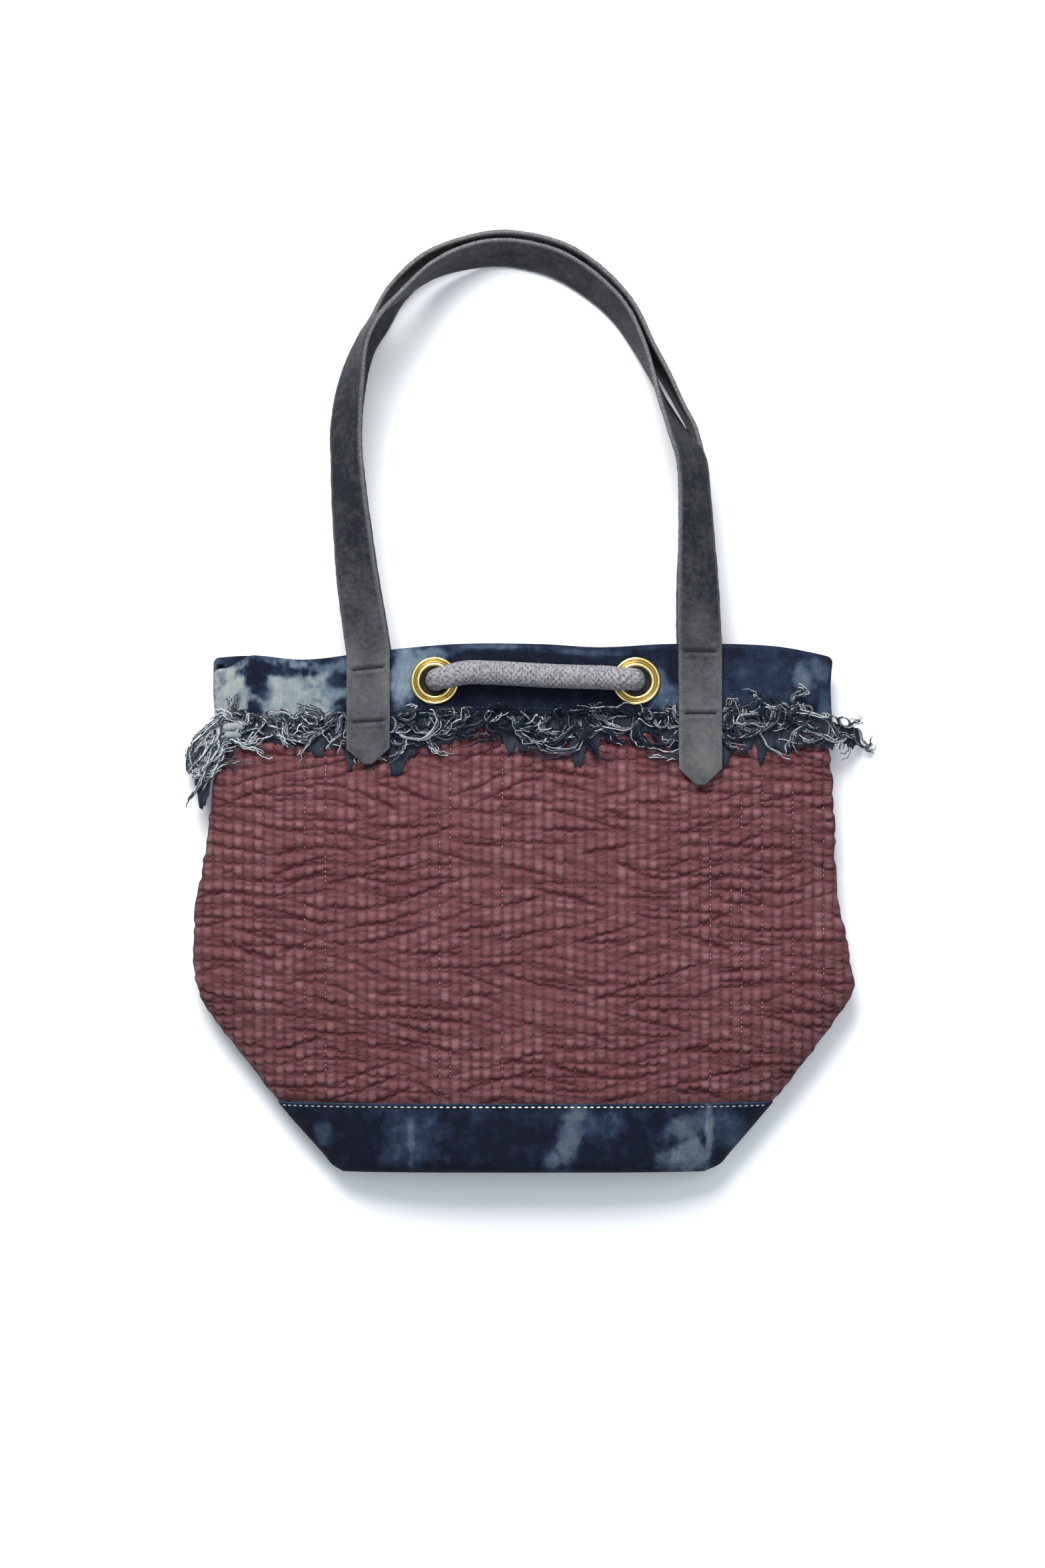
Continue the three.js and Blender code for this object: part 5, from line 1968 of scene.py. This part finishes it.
    def wear_and_sheen(self, run: Array) -> Array:
        """Rubbing of the leather with its painted sheen at each station, read by its distance from the nearer
        tip.
        """
        from_right = run[-1] - run
        return np.where(run < from_right, read_rows(LEFT_WEAR_AND_SHEEN, run), read_rows(RIGHT_WEAR_AND_SHEEN, from_right))

    def sew(self, thread: Material, tabs: list[dict[str, Array]]) -> None:
        """Makes the black stitches across each tab, six to a row.

        Args:
            thread: The stitches' material.
            tabs: Stations of both tabs.
        """
        mesh = Mesh()
        for tab, ups in zip(tabs, self.stitch_ups):
            for up in ups:
                i = int(np.argmin(np.abs(tab["height"] - up)))
                middle, across, out = tab["middle"][i], tab["across"][i], tab["out"][i]
                share = np.linspace(-0.74, 0.74, 60)[:, None] * self.width / 2
                line = middle + across * share + out * (self.wall / 2 - 0.55)
                run = run_along(line)
                starts = np.linspace(0.2, run[-1] - 3.2, 6)
                add_thread_dashes(mesh, line, run, starts, 3.0, 0.42, self.side, np.full(6, 0.3), lift=0.15)
        mesh.build(f"tab_stitches_{self.side.label}", thread, (), "leather")


@dataclass(frozen=True)
class Lamp:
    """A square soft light that looks at the bag's middle."""

    name: str
    where: Triple
    size: float
    power: float
    colour: Triple
    target: Triple = (0.0, 0.1, 0.0)

    def build(self) -> None:
        """Makes the light."""
        light = bpy.data.lights.new(self.name, "AREA")
        light.size, light.energy, light.color = self.size, self.power, self.colour
        placed = bpy.data.objects.new(self.name, light)
        placed.location = self.where
        look = Vector(self.target) - Vector(self.where)
        placed.rotation_euler = look.to_track_quat("-Z", "Y").to_euler()
        bpy.context.scene.collection.objects.link(placed)


@dataclass(frozen=True)
class Studio:
    """Pale floor, soft high light from the upper left and a camera straight above."""

    middle: Triple = (-0.0004, 0.1124, 2.6)
    shown_height: float = 0.9408
    focus: float = 2.58
    sensor: float = 24.0
    floor_half: float = 6.0
    sky: tuple[float, float, float, float] = (0.84, 0.92, 1.0, 1.0)
    sky_strength: float = 0.56
    lamps: tuple[Lamp, ...] = (
        Lamp("key", (-0.45, 1.9, 1.9), 1.3, 98.0, (1.0, 0.985, 0.965)),
        Lamp("fill", (0.9, 0.4, 2.6), 2.0, 18.0, (0.93, 0.96, 1.0)),
    )

    def build(self) -> None:
        """Makes the camera, the floor, the lights and the world."""
        scene = bpy.context.scene
        camera = bpy.data.cameras.new("camera")
        camera.sensor_fit, camera.sensor_height = "VERTICAL", self.sensor
        camera.lens = self.sensor * self.focus / self.shown_height
        camera.clip_end = 20.0
        placed = bpy.data.objects.new("camera", camera)
        placed.location = self.middle
        scene.collection.objects.link(placed)
        scene.camera = placed
        floor = bpy.data.meshes.new("floor")
        far = self.floor_half
        corners = [(-far, -far, 0), (far, -far, 0), (far, far, 0), (-far, far, 0)]
        floor.from_pydata(corners, [], [(0, 1, 2, 3)])
        plane = bpy.data.objects.new("floor", floor)
        scene.collection.objects.link(plane)
        s = Shader("floor")
        s.set(base_color=(0.93, 0.93, 0.94, 1.0), roughness=0.9)
        floor.materials.append(s.material)
        for lamp in self.lamps:
            lamp.build()
        world = bpy.data.worlds.new("world")
        world.use_nodes = True
        back = world.node_tree.nodes["Background"]
        back.inputs["Color"].default_value = self.sky
        back.inputs["Strength"].default_value = self.sky_strength
        scene.world = world
        scene.view_settings.view_transform = "Standard"


FRAYED_FRONT = np.array([
    [-1.00, 1.10], [-0.93, 1.22], [-0.86, 0.70], [-0.74, 0.47], [-0.58, 0.80], [-0.45, 1.00],
    [-0.35, 0.95], [-0.25, 0.60], [-0.11, 0.40], [-0.03, 0.72], [0.08, 0.42], [0.16, 0.95],
    [0.24, 0.55], [0.40, 0.62], [0.56, 0.95], [0.68, 0.83], [0.84, 0.60], [0.95, 0.60],
    [1.03, 0.64],
])
FRONT_TONES = np.array([
    [-1.00, 0.95], [-0.85, 0.85], [-0.70, 0.58], [-0.55, 0.44], [-0.40, 0.24], [-0.25, 0.16],
    [0.0, 0.15], [0.25, 0.14], [0.50, 0.22], [0.62, 0.32], [0.80, 0.38], [0.95, 0.55], [1.03, 0.70],
])
FRONT_RAISED = np.array([
    [-1.00, 0.05], [-0.90, 0.10], [-0.83, 0.65], [-0.74, 0.80], [-0.64, 0.70], [-0.52, 0.15],
    [-0.30, 0.25], [0.0, 0.25], [0.30, 0.35], [0.56, 0.40], [0.74, 0.70], [0.84, 0.75],
    [0.92, 0.45], [1.03, 0.10],
])
BACK_RAISED = np.array([[-0.86, 0.0], [0.0, 0.0], [0.86, 0.0]])
FRAYED_BACK = np.array([[-0.86, 0.80], [-0.40, 0.60], [0.10, 0.80], [0.55, 0.55], [0.86, 0.80]])
BACK_TONES = np.array([[-0.86, 0.5], [0.0, 0.35], [0.86, 0.5]])
# Rubbing and painted sheen of the leather by distance from each tip, in millimetres.
LEFT_WEAR_AND_SHEEN = np.array([
    [0, 0.36], [16, 0.44], [29, 0.50], [38, 0.80], [62, 0.80], [76, 0.42], [110, 0.26], [160, 0.08],
    [230, 0.08], [420, 0.40],
])
RIGHT_WEAR_AND_SHEEN = np.array([
    [0, 0.88], [32, 0.92], [44, 0.62], [70, 0.54], [86, 0.34], [120, 0.18], [165, 0.08],
    [230, 0.10], [420, 0.40],
])
FRONT_ROUTE = np.array([
    [-1.077, 0.197, 25, 1.18], [-1.129, 0.450, 44, 1.08], [-1.133, 0.551, 46, 1.08],
    [-1.101, 0.653, 55, 1.10], [-1.040, 0.754, 72, 1.09], [-0.952, 0.818, 81, 1.06],
    [-0.814, 0.877, 90, 0.84], [-0.612, 0.947, 102, 0.47], [-0.410, 0.983, 114, 0.20],
    [-0.180, 0.997, 121, 0.01], [0.119, 0.971, 122, 0.01], [0.334, 0.918, 119, 0.01],
    [0.514, 0.848, 113, 0.02], [0.635, 0.763, 103, 0.08], [0.738, 0.664, 89, 0.24],
    [0.800, 0.602, 77, 0.50], [0.853, 0.551, 69, 0.78], [0.912, 0.500, 55, 1.02],
    [0.952, 0.450, 46, 1.07], [0.968, 0.349, 42, 1.09], [0.984, 0.197, 27, 1.17],
])
BACK_ROUTE = np.array([
    [-1.075, 0.197, 152], [-1.129, 0.450, 130], [-1.131, 0.551, 124], [-1.100, 0.653, 118],
    [-1.032, 0.754, 113], [-0.940, 0.818, 112], [-0.838, 0.892, 113], [-0.640, 0.968, 114],
    [-0.420, 1.004, 116], [-0.180, 1.018, 120], [0.139, 0.992, 121], [0.370, 0.934, 118],
    [0.563, 0.854, 111], [0.695, 0.754, 104], [0.800, 0.680, 99], [0.896, 0.602, 95],
    [0.957, 0.551, 96], [0.975, 0.500, 105], [0.980, 0.450, 115], [0.990, 0.349, 128],
    [0.990, 0.197, 151],
])


def main() -> None:
    """Builds every piece, the floor, the light and the camera."""
    logging.basicConfig(level=logging.INFO, format="%(name)s: %(message)s")
    body = BodyForm()
    quilt, denim = QuiltFinish().make(), DenimFinish().make()
    leather, brass = LeatherFinish().make(), BrassFinish().make()
    red = YarnFinish("red_thread", (0.20, 0.022, 0.030), (0.70, 0.36, 0.40)).make()
    white = YarnFinish("white_thread", (0.10, 0.12, 0.15), (0.80, 0.80, 0.79)).make()
    navy = YarnFinish("navy_thread", (0.008, 0.010, 0.018), (0.06, 0.075, 0.11)).make()
    black = YarnFinish("black_thread", (0.006, 0.006, 0.007), (0.03, 0.03, 0.032)).make()
    fray = YarnFinish("frayed_yarn", (0.005, 0.009, 0.022), (0.51, 0.54, 0.57)).make()
    marl = YarnFinish("rope_knit", (0.058, 0.057, 0.064), (0.300, 0.294, 0.312), 0.7).make()
    eyelets = Eyelets(body)
    eyelets.pierce(QuiltWall(body, Side.FRONT).build(quilt, red))
    QuiltWall(body, Side.BACK).build(quilt, red)
    DenimBase(body).build(denim, white)
    eyelets.pierce(DenimBand(body, Side.FRONT).build(denim, navy))
    DenimBand(body, Side.BACK).build(denim, navy)
    FrayedEdge(body, Side.FRONT, FRAYED_FRONT, FRONT_TONES, FRONT_RAISED, 172, 1640, 400).build(fray)
    FrayedEdge(body, Side.BACK, FRAYED_BACK, BACK_TONES, BACK_RAISED, 60, 420, 200).build(fray)
    eyelets.build(brass)
    eyelets.build_rope(marl)
    front_rows, back_rows = ((306.0, 272.0), (311.5, 274.4)), ((309.0, 273.0), (309.0, 273.0))
    Handle(body, Side.FRONT, FRONT_ROUTE, (70.0, 83.0), front_rows).build(leather, black)
    Handle(body, Side.BACK, BACK_ROUTE, (76.0, 76.0), back_rows).build(leather, black)
    Studio().build()


if __name__ == "__main__":
    main()
